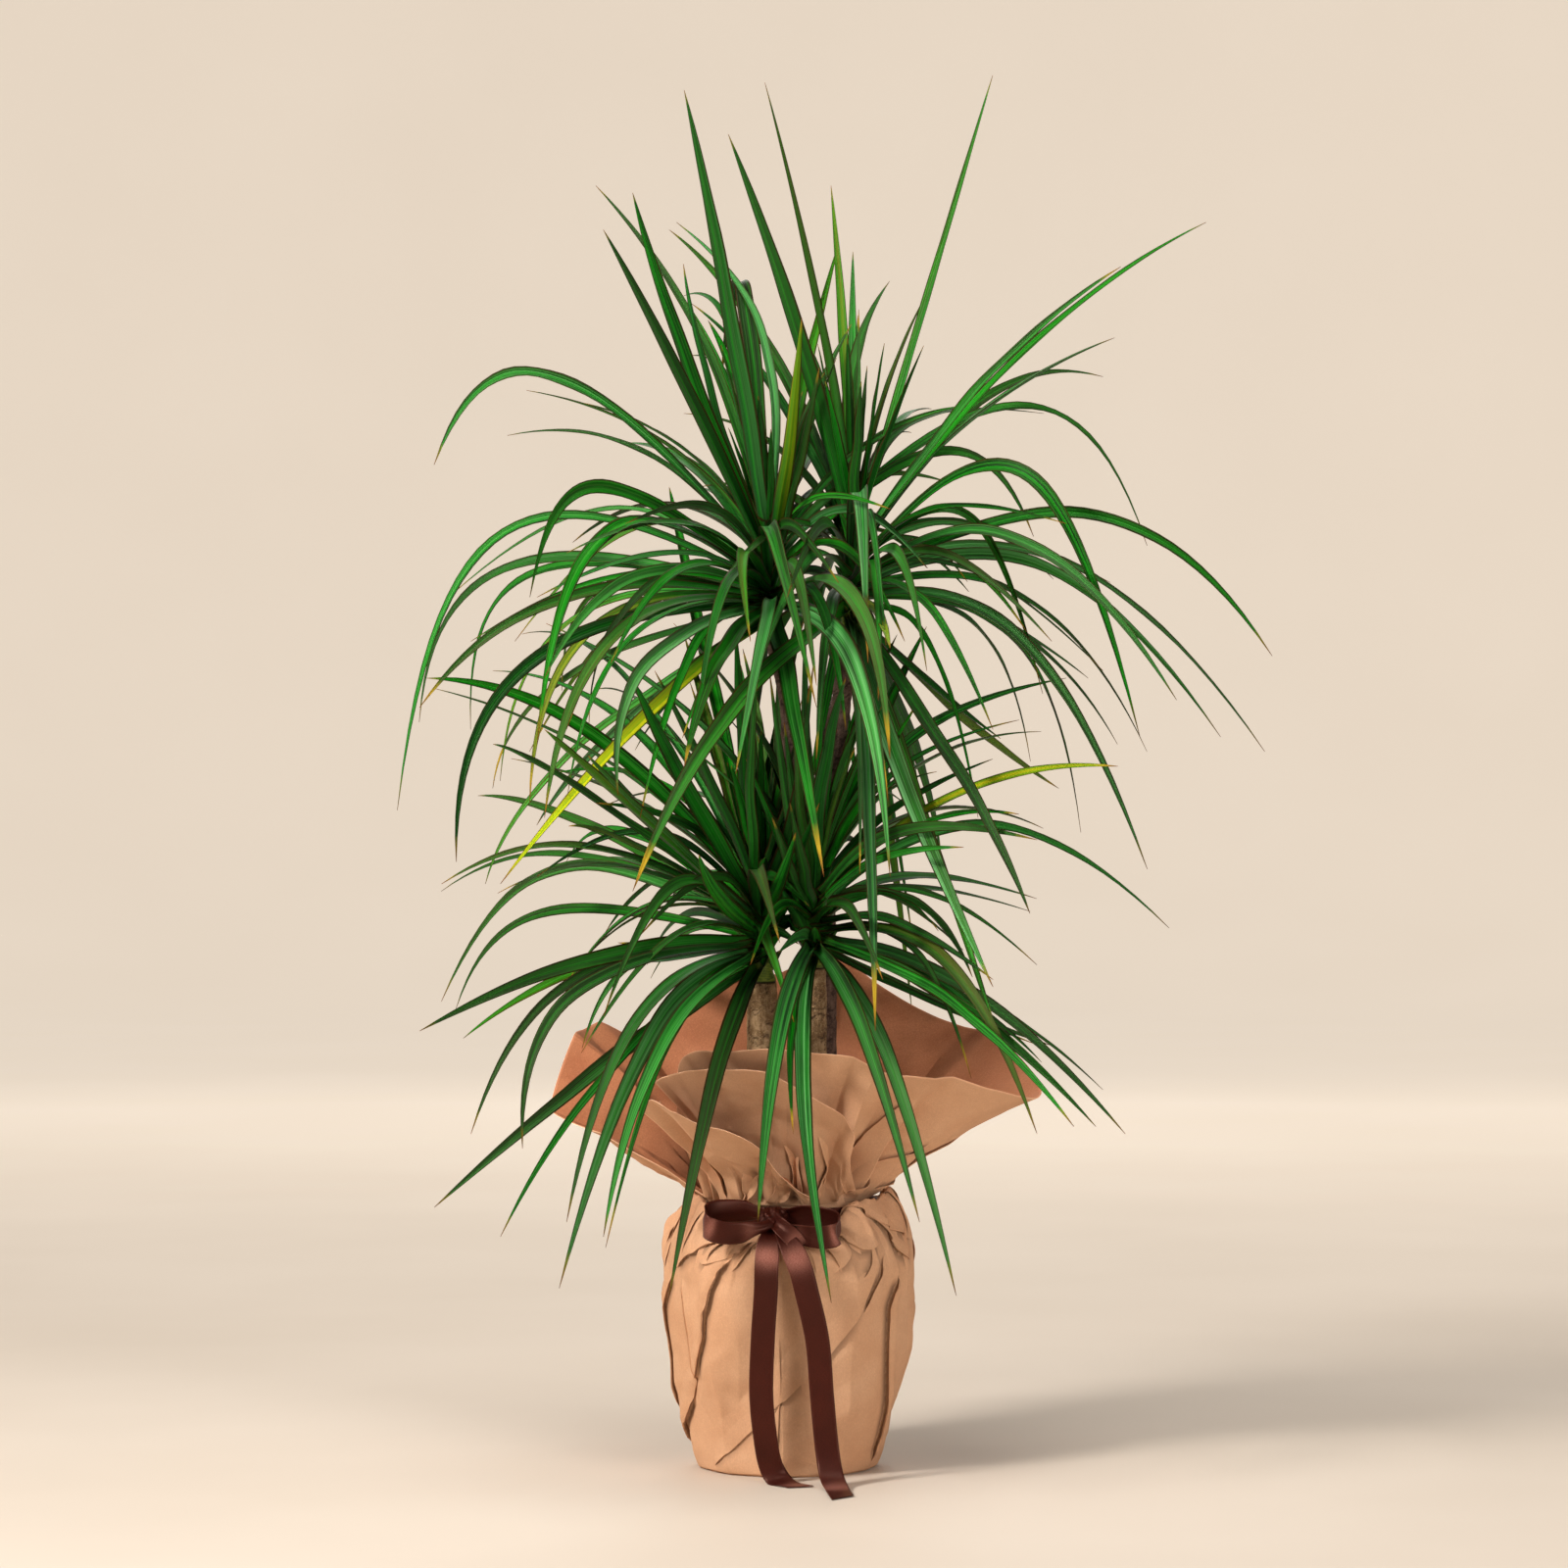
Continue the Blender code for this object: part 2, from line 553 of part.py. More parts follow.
def back_leaf(crown, number, count, longest, rng):
    """A function that gives the leaf for a turn about the head: young ones upright, old ones drooping."""
    age = (number + 0.5) / count
    turn = number * GOLDEN_ANGLE + rng.uniform(-0.3, 0.3)
    length = longest * (0.6 + 0.4 * math.sin(math.pi * age)) * rng.uniform(0.9, 1.08)
    start = math.radians(80 - 54 * age + rng.uniform(-6, 6))
    end = math.radians(62 - 130 * age + rng.uniform(-8, 8))
    width = rng.uniform(9, 12.5)
    spin = rng.uniform(-1, 1), rng.uniform(-1, 1)

    def turned_by(shift):
        # Directions are drawn into the half that faces away from the front
        angle = math.pi / 2 + 0.42 * math.remainder(turn + math.radians(shift) - math.pi / 2, 2 * math.pi)
        outward = Vector((math.cos(angle), math.sin(angle), 0))
        up = Vector((0, 0, 1))
        rise = head_axis(crown, 0.5) + (outward * math.cos(start) + up * math.sin(start)) * 100
        root = root_of(crown, rise)
        pull = root + (outward * math.cos(start) + up * math.sin(start)) * 0.5 * length
        tip = pull + (outward * math.cos(end) + up * math.sin(end)) * 0.55 * length
        return Leaf(root, pull, tip, 1, width, ROLL_SPREAD * spin[0], ROLL_SPREAD * spin[1])

    return turned_by


def place(choices, shifts, obstacles, sisters):
    """The first choice clear of every obstacle and of the head's own blades, or of the obstacles only."""
    fallback = None
    for shift in shifts:
        leaf = choices(shift)
        tree = leaf.tree(CLEARANCE)
        if any(tree.overlap(other) for other in obstacles):
            continue
        blade = leaf.blade_tree()
        if not any(blade.overlap(other) for other in sisters):
            return leaf
        fallback = fallback or leaf
    return fallback


def shifts(step, count):
    """0, then steps to either side."""
    return [0] + [sign * step * k for k in range(1, count + 1) for sign in (1, -1)]


def head_mesh(crown, grow=0):
    path = []
    for share in (0, 0.3, 0.65, 1):
        centre = head_axis(crown, share)
        radius = HEAD_FOOT_RADIUS + (HEAD_TIP_RADIUS - HEAD_FOOT_RADIUS) * share
        path.append((*centre, radius + grow))
    return tube_mesh(path, HEAD_SIDES)


def arrange_leaves(paper_trees):
    """Every leaf of every head, each bent clear of what belongs to another head."""
    canes = [BVHTree.FromPolygons(*tube_mesh([(x, y, z, r + CLEARANCE) for x, y, z, r in path], CANE_SIDES))
             for path in (SHORT_LEFT, SHORT_RIGHT, TALL_TRUNK, TALL_LEFT, TALL_RIGHT)]
    heads = {crown: BVHTree.FromPolygons(*head_mesh(crown, CLEARANCE)) for crown in HEADS}
    rng = random.Random(SEED)
    placed = {crown: [] for crown in HEADS}
    trees = {crown: [] for crown in HEADS}
    blades = {crown: [] for crown in HEADS}

    def settle(crown, choices, steps):
        others = [tree for name in HEADS if name != crown for tree in trees[name] + [heads[name]]]
        leaf = place(choices, steps, others + canes + paper_trees, blades[crown])
        if leaf:
            placed[crown].append(leaf)
            trees[crown].append(leaf.tree(CLEARANCE))
            blades[crown].append(leaf.blade_tree())

    for crown, rows in LEAVES.items():
        for row in rows:
            settle(crown, outline_leaf(crown, row, rng), shifts(9, 14))
    for crown, (count, longest) in BACK_LEAVES.items():
        for number in range(count):
            settle(crown, back_leaf(crown, number, count, longest, rng), shifts(7, 12))
    return placed


def build_crowns(placed):
    for crown, leaves in placed.items():
        head = solid(crown, *head_mesh(crown), "leaf_green")
        join(head, [solid(f"{crown}_leaf", *leaf.mesh(), "leaf_green") for leaf in leaves])


def tuck(degrees, height):
    """How far the gathered paper stands off its mean radius at one place."""
    a = math.radians(degrees)
    tucks = math.sin(9 * a + 0.6) + 0.6 * math.sin(13 * a + 2.1)
    creases = math.sin(5 * a + 1.0) + 0.7 * math.sin(8 * a + 2.6)
    gathered = between(GATHERING, height)[0]
    return TUCK_DEPTH * gathered * tucks + CREASE_DEPTH * (1 - gathered) * creases * min(height / 20, 1)


def body_point(degrees, height):
    radius = between(BODY, height)[0] + tuck(degrees, height)
    a = math.radians(degrees)
    return Vector((radius * math.cos(a), radius * math.sin(a), height))


def flare(degrees, share, rim, standoff):
    """A place on a collar sheet, from 0 at the neck to 1 at the rim."""
    reach, top = rim
    a = math.radians(degrees)
    foot = NECK_RADIUS + standoff + tuck(degrees, NECK_HEIGHT)
    bend_radius = foot + 0.22 * (reach - foot)
    bend_height = NECK_HEIGHT + 0.45 * (top - NECK_HEIGHT)
    parts = ((1 - share) ** 2, 2 * share * (1 - share), share**2)
    radius = foot * parts[0] + bend_radius * parts[1] + reach * parts[2]
    height = NECK_HEIGHT * parts[0] + bend_height * parts[1] + top * parts[2]
    flute = 2.2 * math.sin(9 * a + 0.6) * math.sin(math.pi * share) ** 2
    radius += flute
    return Vector((radius * math.cos(a), radius * math.sin(a), height))


def thin_sheet(columns, thickness, ring):
    """A closed solid from columns of points on the outer face, thickened toward the inside.

    Each column runs up one direction. In a ring the last column meets the first, and the
    columns start on a flat foot that is closed by a disc on both faces."""
    outer, inner = [], []
    for column in columns:
        inside = []
        for i, point in enumerate(column):
            step = column[min(i + 1, len(column) - 1)] - column[max(i - 1, 0)]
            outward = Vector((point.x, point.y, 0)).normalized()
            rise = Vector((step.dot(outward), step.z)).normalized()
            inside.append(point - (outward * rise[1] - Vector((0, 0, rise[0]))) * thickness)
        if ring:
            inside[0] = Vector((column[0].x, column[0].y, thickness))
            inside[0] *= 1 - thickness / column[0].length
            inside[0].z = thickness
        outer.append(column)
        inner.append(inside)
    count, rows = len(columns), len(columns[0])
    points = [p for column in outer + inner for p in column]
    base = count * rows
    faces = []
    for k in range(count if ring else count - 1):
        here, there = k * rows, (k + 1) % count * rows
        for i in range(rows - 1):
            a, b, c, d = here + i, there + i, there + i + 1, here + i + 1
            faces += [(a, b, c), (a, c, d)]
            faces += [(base + a, base + c, base + b), (base + a, base + d, base + c)]
        top_here, top_there = here + rows - 1, there + rows - 1
        faces.append((top_here, top_there, base + top_there, base + top_here))
        if not ring:
            faces.append((here, base + here, base + there, there))
    if ring:
        faces.append(tuple(k * rows for k in reversed(range(count))))
        faces.append(tuple(base + k * rows for k in range(count)))
    else:
        for k in (0, count - 1):
            for i in range(rows - 1):
                a = k * rows + i
                faces.append((a, a + 1, base + a + 1, base + a))
    return points, faces


def wrap_mesh():
    columns = []
    for k in range(PAPER_COLUMNS):
        degrees = 360 * k / PAPER_COLUMNS
        column = [body_point(degrees, height) for height, _ in BODY[:-1]]
        rim = around(RIM, degrees)
        column += [flare(degrees, i / COLLAR_ROWS, rim, 0) for i in range(COLLAR_ROWS + 1)]
        columns.append(column)
    return thin_sheet(columns, PAPER, ring=True)


def flap_mesh(table, standoff):
    columns = []
    for k in range(FLAP_COLUMNS):
        degrees = table[0][0] + (table[-1][0] - table[0][0]) * k / (FLAP_COLUMNS - 1)
        rim = between(table, degrees)
        columns.append([flare(degrees, i / COLLAR_ROWS, rim, standoff) for i in range(COLLAR_ROWS + 1)])
    return thin_sheet(columns, PAPER, ring=False)


def smooth_path(points, count):
    """Evenly counted points on a smooth line through the given ones."""
    table = [(i, *point) for i, point in enumerate(points)]
    last = len(points) - 1
    return [Vector(between(table, last * k / (count - 1))) for k in range(count)]


def ribbon_mesh(path, across):
    """A flat strip along a path, its width laid along one direction."""
    count = len(path)
    side = across.normalized()
    loops = []
    for i, point in enumerate(path):
        ahead = (path[min(i + 1, count - 1)] - path[max(i - 1, 0)]).normalized()
        face = side.cross(ahead).normalized()
        half, thick = side * RIBBON_WIDTH / 2, face * RIBBON_THICKNESS / 2
        near, far = point - half, point + half
        loops.append([near - thick, far - thick, far + thick, near + thick])
    return rings(loops)


def loop_path(reach, opening):
    """A long rounded loop out of the knot and back."""
    path = []
    for i in range(LOOP_SECTIONS):
        a = 0.12 + (2 * math.pi - 0.24) * i / (LOOP_SECTIONS - 1)
        out = (1 - math.cos(a)) / 2
        bulge = math.copysign(abs(math.sin(a)) ** 0.6, math.sin(a))
        path.append(Vector(LOOP_START) + Vector(reach) * out - Vector((0, opening * bulge, 0)))
    return path


def band_mesh():
    half = BAND_WIDTH / 2
    profile = [
        (BAND_RADIUS, BAND_MIDDLE - half), (BAND_RADIUS + RIBBON_THICKNESS, BAND_MIDDLE - half),
        (BAND_RADIUS + RIBBON_THICKNESS, BAND_MIDDLE + half), (BAND_RADIUS, BAND_MIDDLE + half),
    ]
    return turned(profile, BAND_COLUMNS)


def knot_mesh():
    loops = []
    for share in (-1, -0.6, 0, 0.6, 1):
        size = math.sqrt(max(1 - 0.75 * share * share, 0))
        turns = [2 * math.pi * k / 10 for k in range(10)]
        loops.append([
            (KNOT[0] + KNOT_SIZE[0] * size * math.cos(a), KNOT[1] + KNOT_SIZE[1] * size * math.sin(a),
             KNOT[2] + KNOT_SIZE[2] * share)
            for a in turns
        ])
    return rings(loops)


def build_ribbon():
    across, up = Vector((1, 0, 0)), Vector((0, -0.35, 1))
    band = solid("satin_ribbon", *band_mesh(), "satin")
    tails = [
        ribbon_mesh(smooth_path(LEFT_TAIL, TAIL_SECTIONS), across),
        ribbon_mesh(smooth_path(RIGHT_TAIL, TAIL_SECTIONS), across),
    ]
    loops = [ribbon_mesh(loop_path(reach, opening), up) for reach, opening in LOOPS]
    strips = [solid("strip", *shape, "satin") for shape in [knot_mesh()] + loops + tails]
    join(band, strips)


def main():
    clear_scene()
    wrap = wrap_mesh()
    flaps = {
        "paper_flap_upper": flap_mesh(UPPER_FLAP, UPPER_STANDOFF),
        "paper_flap_lower": flap_mesh(LOWER_FLAP, LOWER_STANDOFF),
    }
    solid("paper_wrap", *wrap, "kraft_paper")
    for name, shape in flaps.items():
        solid(name, *shape, "kraft_paper")
    build_pot()
    build_soil()
    build_canes()
    build_ribbon()
    paper_trees = [BVHTree.FromPolygons(*shape) for shape in (wrap, *flaps.values())]
    build_crowns(arrange_leaves(paper_trees))


main()
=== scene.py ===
"""The looks of the potted dracaena: fine leaves, bark, soil, folded paper and a satin ribbon.

The solid crowns, canes, paper and ribbon of the model give every place and size. Each is
replaced here by a finer piece that keeps its form. Sizes are in millimetres until a mesh is
made, and the front of the plant faces -Y.
"""

import math
import random

import bmesh
import bpy
import numpy as np
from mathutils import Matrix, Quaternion, Vector, noise
from mathutils.bvhtree import BVHTree


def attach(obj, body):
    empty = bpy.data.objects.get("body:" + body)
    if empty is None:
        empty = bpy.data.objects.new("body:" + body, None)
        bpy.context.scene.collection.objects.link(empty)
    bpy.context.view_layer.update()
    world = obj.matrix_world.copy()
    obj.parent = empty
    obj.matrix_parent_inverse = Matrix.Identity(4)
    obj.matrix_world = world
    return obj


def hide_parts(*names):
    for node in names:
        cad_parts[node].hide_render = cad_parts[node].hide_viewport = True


MM = 0.001
TURN = 2 * math.pi
SEED = 7
LOOKS_SEED = 23

# Camera of the photograph: level, in front of the plant. The leaves are placed by a distance that
# is 3 mm longer
EYE_DISTANCE = 3140
EYE_DEPTH = -3137
EYE_HEIGHT = 463
EYE_ASIDE = -2
LENS_MM = 105.9

# Canes, as in the model: points with a radius
CANE_FOOT = 70
SOIL_TOP = 126
SHORT_LEFT = [(-16, -14, CANE_FOOT, 11.5), (-16, -14, SOIL_TOP + 8, 11.2), (-17, -12, 328, 10.2)]
SHORT_RIGHT = [(17, -20, CANE_FOOT, 10.6), (17, -20, SOIL_TOP + 8, 10.4), (17, -20, 338, 9.6)]
TALL_TRUNK = [(24, 26, CANE_FOOT, 11.8), (24, 26, SOIL_TOP + 8, 11.2), (24, 26, 405, 9.2)]
TALL_LEFT = [
    (24, 26, 385, 6.5), (11, 20, 430, 6.9), (3, 12, 480, 6.6), (1, 9, 520, 6.4), (-9, 5, 562, 6.4),
]
TALL_RIGHT = [
    (24, 26, 385, 6.5), (25, 24, 450, 7.2), (32, 21, 492, 8.4), (38, 18, 525, 6.8), (43, 15, 567, 6.4),
]

# Leafy heads: the top of the cane under each, its lean in x and y, and its height, then the
# radius of each cane's top, of a head at its foot and top, and how many rings it has
HEADS = {
    "crown_top_left": ((-9, 5, 562), (-4, -2), 76),
    "crown_top_right": ((43, 15, 567), (3, -2), 76),
    "crown_low_left": ((-17, -12, 328), (-2, -1), 78),
    "crown_low_right": ((17, -20, 338), (2, -1), 72),
}
CANE_TOPS = {"crown_top_left": 6.4, "crown_top_right": 6.4, "crown_low_left": 10.2, "crown_low_right": 9.6}
HEAD_RADII = (7.2, 3.4)
HEAD_RINGS = 11

# Gap between one solid and the next
GAP = 0.3

# Leaves: how deep a root sits in the head, how far a leaf may roll in degrees, how much of the turn
# to the front it takes, how near a solid leaf has to be to count as the same one, and how far a
# finer leaf stays from the paper
ROOT_SUNK = 2.0
ROLL_SPREAD = 20
FACE_FRONT = 0.62
SAME_LEAF = 1.5
PAPER_CLEARANCE = 5

# The leaves that give the plant its outline, as seen from the front. Each row has x and z at
# the middle of the blade, x and z of the tip, y of the tip, the width, and how sharply it bends
LEAVES = {
    "crown_top_left": [
        (-40, 785, -70, 935, -60, 14, 1), (-70, 755, -105, 865, -110, 11, 1),
        (-70, 735, -125, 840, -150, 10, 1), (-55, 760, -130, 870, 80, 7, 1),
        (-15, 765, -75, 845, 150, 7, 1.5), (-35, 765, -70, 795, 200, 6, 1.2),
        (-30, 800, -45, 735, 165, 13, 1.8), (0, 685, 10, 780, -170, 11, 1),
        (10, 730, 35, 830, 120, 9, 1), (155, 720, 245, 625, 100, 7, 1.2),
        (-160, 740, -240, 680, -40, 12, 1.2), (-60, 675, -110, 695, 230, 11, 1.2),
        (-130, 665, -175, 590, -170, 11, 1.6), (-190, 635, -265, 445, -60, 8, 1.3),
        (-190, 610, -250, 505, 150, 8, 1.2), (-175, 605, -215, 500, 180, 8, 1.3),
        (-150, 590, -250, 515, -210, 9, 1.1), (-175, 545, -225, 410, -170, 10, 1.1),
        (-120, 635, -170, 490, -200, 12, 1.2), (-100, 605, -165, 535, -240, 10, 1),
        (-95, 585, -175, 485, 210, 9, 1), (-115, 565, -165, 440, -220, 11, 1.1),
        (-95, 545, -115, 455, -250, 10, 1.1), (-90, 515, -195, 395, -180, 12, 1),
        (-150, 535, -200, 460, 170, 7, 1.1), (-145, 575, -195, 465, 120, 7, 1.1),
        (-130, 570, -175, 450, -130, 8, 1), (-110, 505, -170, 435, 200, 9, 1),
        (-145, 485, -205, 395, 90, 6, 1), (-10, 635, 20, 515, -215, 12, 1.5),
        (-15, 570, -35, 470, -250, 10, 1), (-45, 550, -70, 475, -240, 13, 1.2),
        (0, 535, 25, 400, -240, 14, 1), (45, 545, 70, 400, -225, 15, 1.2),
        (45, 590, 70, 480, -255, 13, 1.2),
    ],
    "crown_top_right": [
        (10, 760, -40, 905, -70, 14, 1), (25, 765, -15, 940, 40, 9, 1),
        (-10, 755, -80, 840, 150, 10, 1), (40, 745, 30, 870, 90, 9, 1),
        (45, 730, 45, 825, 190, 9, 1), (45, 740, 70, 805, 180, 12, 1.5),
        (90, 775, 140, 945, 30, 8, 1), (160, 755, 285, 845, -60, 10, 1),
        (135, 725, 215, 740, 210, 8, 1.3), (80, 705, 175, 715, 230, 8, 1.5),
        (160, 675, 240, 495, -110, 12, 1.5), (210, 645, 330, 550, -80, 9, 1.2),
        (185, 615, 325, 485, 60, 8, 1), (155, 630, 265, 520, -150, 10, 1.1),
        (175, 610, 295, 495, 140, 10, 1.2), (160, 590, 245, 485, 210, 8, 1),
        (150, 570, 225, 490, 240, 8, 1), (155, 565, 245, 405, -130, 10, 1.2),
        (155, 560, 200, 430, 190, 8, 1.3), (120, 585, 205, 535, 270, 8, 1),
        (50, 660, 55, 545, -215, 14, 1.5), (-40, 510, -105, 390, -220, 14, 1.1),
        (115, 475, 165, 375, -220, 10, 1), (80, 465, 140, 325, -195, 14, 1),
        (55, 465, 60, 295, -165, 12, 1), (65, 465, 85, 310, 195, 8, 1),
        (95, 435, 145, 285, -120, 9, 1), (85, 495, 105, 415, 265, 9, 1),
        (125, 505, 185, 460, 245, 7, 1.2), (60, 580, 70, 555, -215, 9, 1),
    ],
    "crown_low_left": [
        (-130, 345, -250, 295, -190, 12, 1.1), (-130, 340, -220, 290, 200, 9, 1.1),
        (-145, 330, -215, 225, -150, 8, 1.2), (-145, 320, -180, 215, -200, 10, 1.2),
        (-155, 405, -235, 315, 90, 9, 1.4), (-165, 375, -225, 310, 190, 8, 1.4),
        (-135, 420, -235, 395, -160, 9, 1.2), (-145, 415, -235, 390, 225, 6, 1.2),
        (-120, 275, -240, 175, -160, 12, 1), (-115, 275, -195, 155, -215, 7, 1),
        (-100, 305, -150, 165, -230, 10, 1.2), (-90, 295, -155, 120, -205, 13, 1.2),
        (-85, 285, -125, 155, -255, 10, 1.1), (-75, 395, -125, 305, -255, 10, 1.4),
        (-45, 275, -80, 115, -220, 14, 1.1), (-45, 385, -60, 415, -220, 11, 1),
        (-20, 405, -5, 355, -180, 12, 1.6), (-65, 375, -95, 340, 235, 7, 1.1),
        (-75, 345, -115, 340, 245, 6, 1.1), (-130, 495, -245, 535, -110, 12, 1),
        (-105, 500, -200, 540, 150, 10, 1), (-105, 530, -180, 565, 180, 6, 1),
        (-135, 455, -200, 490, -205, 10, 1), (-135, 435, -210, 455, 215, 8, 1),
        (-105, 430, -150, 410, 260, 7, 1.1), (-115, 455, -165, 500, -235, 10, 1),
        (-95, 440, -130, 485, 250, 9, 1), (-60, 570, -80, 665, 130, 11, 1),
        (-70, 465, -105, 535, -180, 12, 1), (-45, 475, -70, 565, 90, 10, 1),
        (-30, 485, -35, 570, -60, 11, 1), (-15, 470, -30, 555, 40, 10, 1.1),
        (5, 440, 15, 530, -70, 12, 1),
    ],
    "crown_low_right": [
        (45, 465, 95, 570, 150, 14, 1), (80, 490, 190, 535, 160, 9, 1.3),
        (115, 455, 225, 475, -160, 10, 1), (75, 430, 170, 425, -200, 10, 1.2),
        (135, 435, 260, 365, 140, 8, 1.1), (80, 400, 170, 385, 245, 8, 1.3),
        (65, 285, 115, 115, -195, 12, 1.2), (50, 300, 90, 165, -245, 12, 1.2),
        (105, 345, 170, 225, -185, 11, 1.3), (120, 325, 230, 225, -120, 10, 1.1),
        (125, 320, 215, 255, 140, 9, 1), (115, 315, 210, 230, -200, 9, 1.1),
        (110, 315, 195, 230, -235, 9, 1.1), (90, 320, 180, 285, 225, 7, 1),
        (-5, 295, -20, 165, -245, 13, 1.2), (10, 255, 30, 110, -215, 13, 1.2),
        (35, 400, 50, 370, 240, 8, 1.3), (25, 470, 20, 545, 190, 9, 1),
        (25, 470, 40, 535, -170, 11, 1), (50, 455, 85, 445, 225, 8, 1.5),
        (8, 430, -2, 505, -60, 11, 1),
    ],
}

# Finer leaves between those, which only show here, in rows of the same kind
INNER_LEAVES = {
    "crown_top_left": [
        (40, 650, 95, 610, -90, 8, 1.2), (35, 625, 80, 560, -130, 9, 1.2), (45, 668, 110, 668, 60, 7, 1.2),
        (30, 600, 55, 520, 120, 9, 1.1), (50, 690, 120, 720, 30, 7, 1.1), (20, 590, 40, 500, -150, 10, 1.1),
        (-70, 640, -150, 620, -190, 8, 1.3), (-95, 640, -185, 560, 60, 6, 1.3),
        (-80, 620, -170, 590, -120, 6, 1.2), (-110, 605, -215, 560, -90, 5, 1.2),
        (-120, 650, -230, 590, 60, 5, 1.4), (-90, 600, -150, 500, -140, 6, 1.1),
        (-60, 560, -100, 440, -160, 8, 1.1), (-100, 690, -190, 700, 90, 5, 1.2),
        (-70, 610, -120, 545, -230, 9, 1.2), (-30, 620, -25, 560, -230, 10, 1.4),
        (-40, 600, -62, 500, -200, 9, 1.2), (-50, 650, -110, 640, -240, 8, 1.4),
        (0, 640, 35, 600, -200, 10, 1.3), (5, 610, 20, 530, -170, 10, 1.2), (15, 655, 70, 650, -190, 8, 1.4),
        (-15, 560, -30, 440, 110, 10, 1.1), (25, 570, 50, 440, 90, 10, 1.1),
    ],
    "crown_top_right": [
        (5, 640, -45, 600, -100, 9, 1.2), (0, 660, -60, 665, 80, 8, 1.2), (15, 615, -20, 540, -120, 10, 1.1),
        (15, 590, -10, 480, 130, 9, 1.1), (-5, 690, -70, 715, 100, 7, 1.1), (30, 580, 20, 480, -150, 10, 1.1),
        (100, 650, 190, 640, -120, 6, 1.3), (110, 640, 220, 600, 90, 5, 1.3),
        (105, 620, 180, 560, -160, 7, 1.3), (120, 610, 215, 540, 60, 5, 1.2),
        (90, 590, 140, 500, -170, 8, 1.2), (95, 560, 130, 440, 60, 7, 1.1),
        (75, 620, 95, 540, -220, 9, 1.4), (60, 610, 62, 520, -200, 9, 1.3),
        (25, 640, 0, 590, -190, 10, 1.3), (35, 560, 10, 430, 110, 10, 1.1), (45, 600, 55, 490, 130, 10, 1.1),
    ],
    "crown_low_left": [
        (-10, 400, 15, 380, -90, 9, 1.4), (-15, 360, 5, 300, -110, 9, 1.3),
        (-50, 400, -100, 360, -210, 8, 1.3),
        (-90, 430, -170, 400, -120, 6, 1.3), (-80, 460, -160, 470, 40, 6, 1.2),
        (-50, 460, -90, 540, -60, 8, 1), (-25, 450, -20, 540, -120, 8, 1),
        (-75, 360, -140, 280, -150, 8, 1.2),
        (-5, 450, 10, 520, 60, 8, 1), (-60, 430, -130, 450, -160, 8, 1.1),
        (0, 420, 18, 545, -45, 11, 1), (2, 405, 34, 500, -65, 10, 1.1), (0, 400, 22, 450, -85, 10, 1.2),
        (-6, 395, 6, 430, -105, 10, 1.3), (-8, 440, -5, 570, 20, 11, 1), (4, 395, 30, 430, 40, 10, 1.2),
        (-5, 372, 8, 394, -35, 11, 1.3), (-4, 368, 14, 374, 10, 11, 1.3), (-8, 362, 8, 354, -50, 10, 1.5),
        (-6, 380, 2, 415, -30, 11, 1.2), (-9, 375, 4, 380, 30, 12, 1.3),
    ],
    "crown_low_right": [
        (-5, 380, -25, 340, -120, 8, 1.3), (10, 440, 5, 520, -100, 9, 1), (50, 450, 90, 520, -60, 9, 1),
        (35, 460, 60, 560, 40, 9, 1), (60, 410, 120, 420, -180, 8, 1.2), (60, 390, 120, 350, 90, 7, 1.3),
        (70, 370, 140, 330, -160, 8, 1.2), (40, 380, 65, 330, -220, 9, 1.3), (65, 440, 140, 480, 60, 7, 1.1),
        (90, 390, 170, 340, 60, 6, 1.3),
        (6, 415, -12, 540, -50, 11, 1), (4, 405, -28, 480, -75, 10, 1.1), (6, 395, -10, 440, -100, 10, 1.2),
        (12, 400, 2, 450, -115, 10, 1.2), (14, 440, 12, 575, 15, 11, 1), (2, 390, -22, 425, 30, 10, 1.2),
        (8, 372, -6, 396, -40, 11, 1.3), (6, 367, -12, 370, 20, 11, 1.4), (9, 360, -6, 348, -60, 10, 1.5),
        (8, 380, 4, 418, -40, 11, 1.2), (9, 374, -2, 378, 25, 12, 1.3),
    ],
}
# The leaves behind follow the spiral of the plant: how many, and their longest length
BACK_LEAVES = {
    "crown_top_left": (7, 250),
    "crown_top_right": (7, 250),
    "crown_low_left": (6, 270),
    "crown_low_right": (8, 270),
}
GOLDEN_ANGLE = math.radians(137.5)

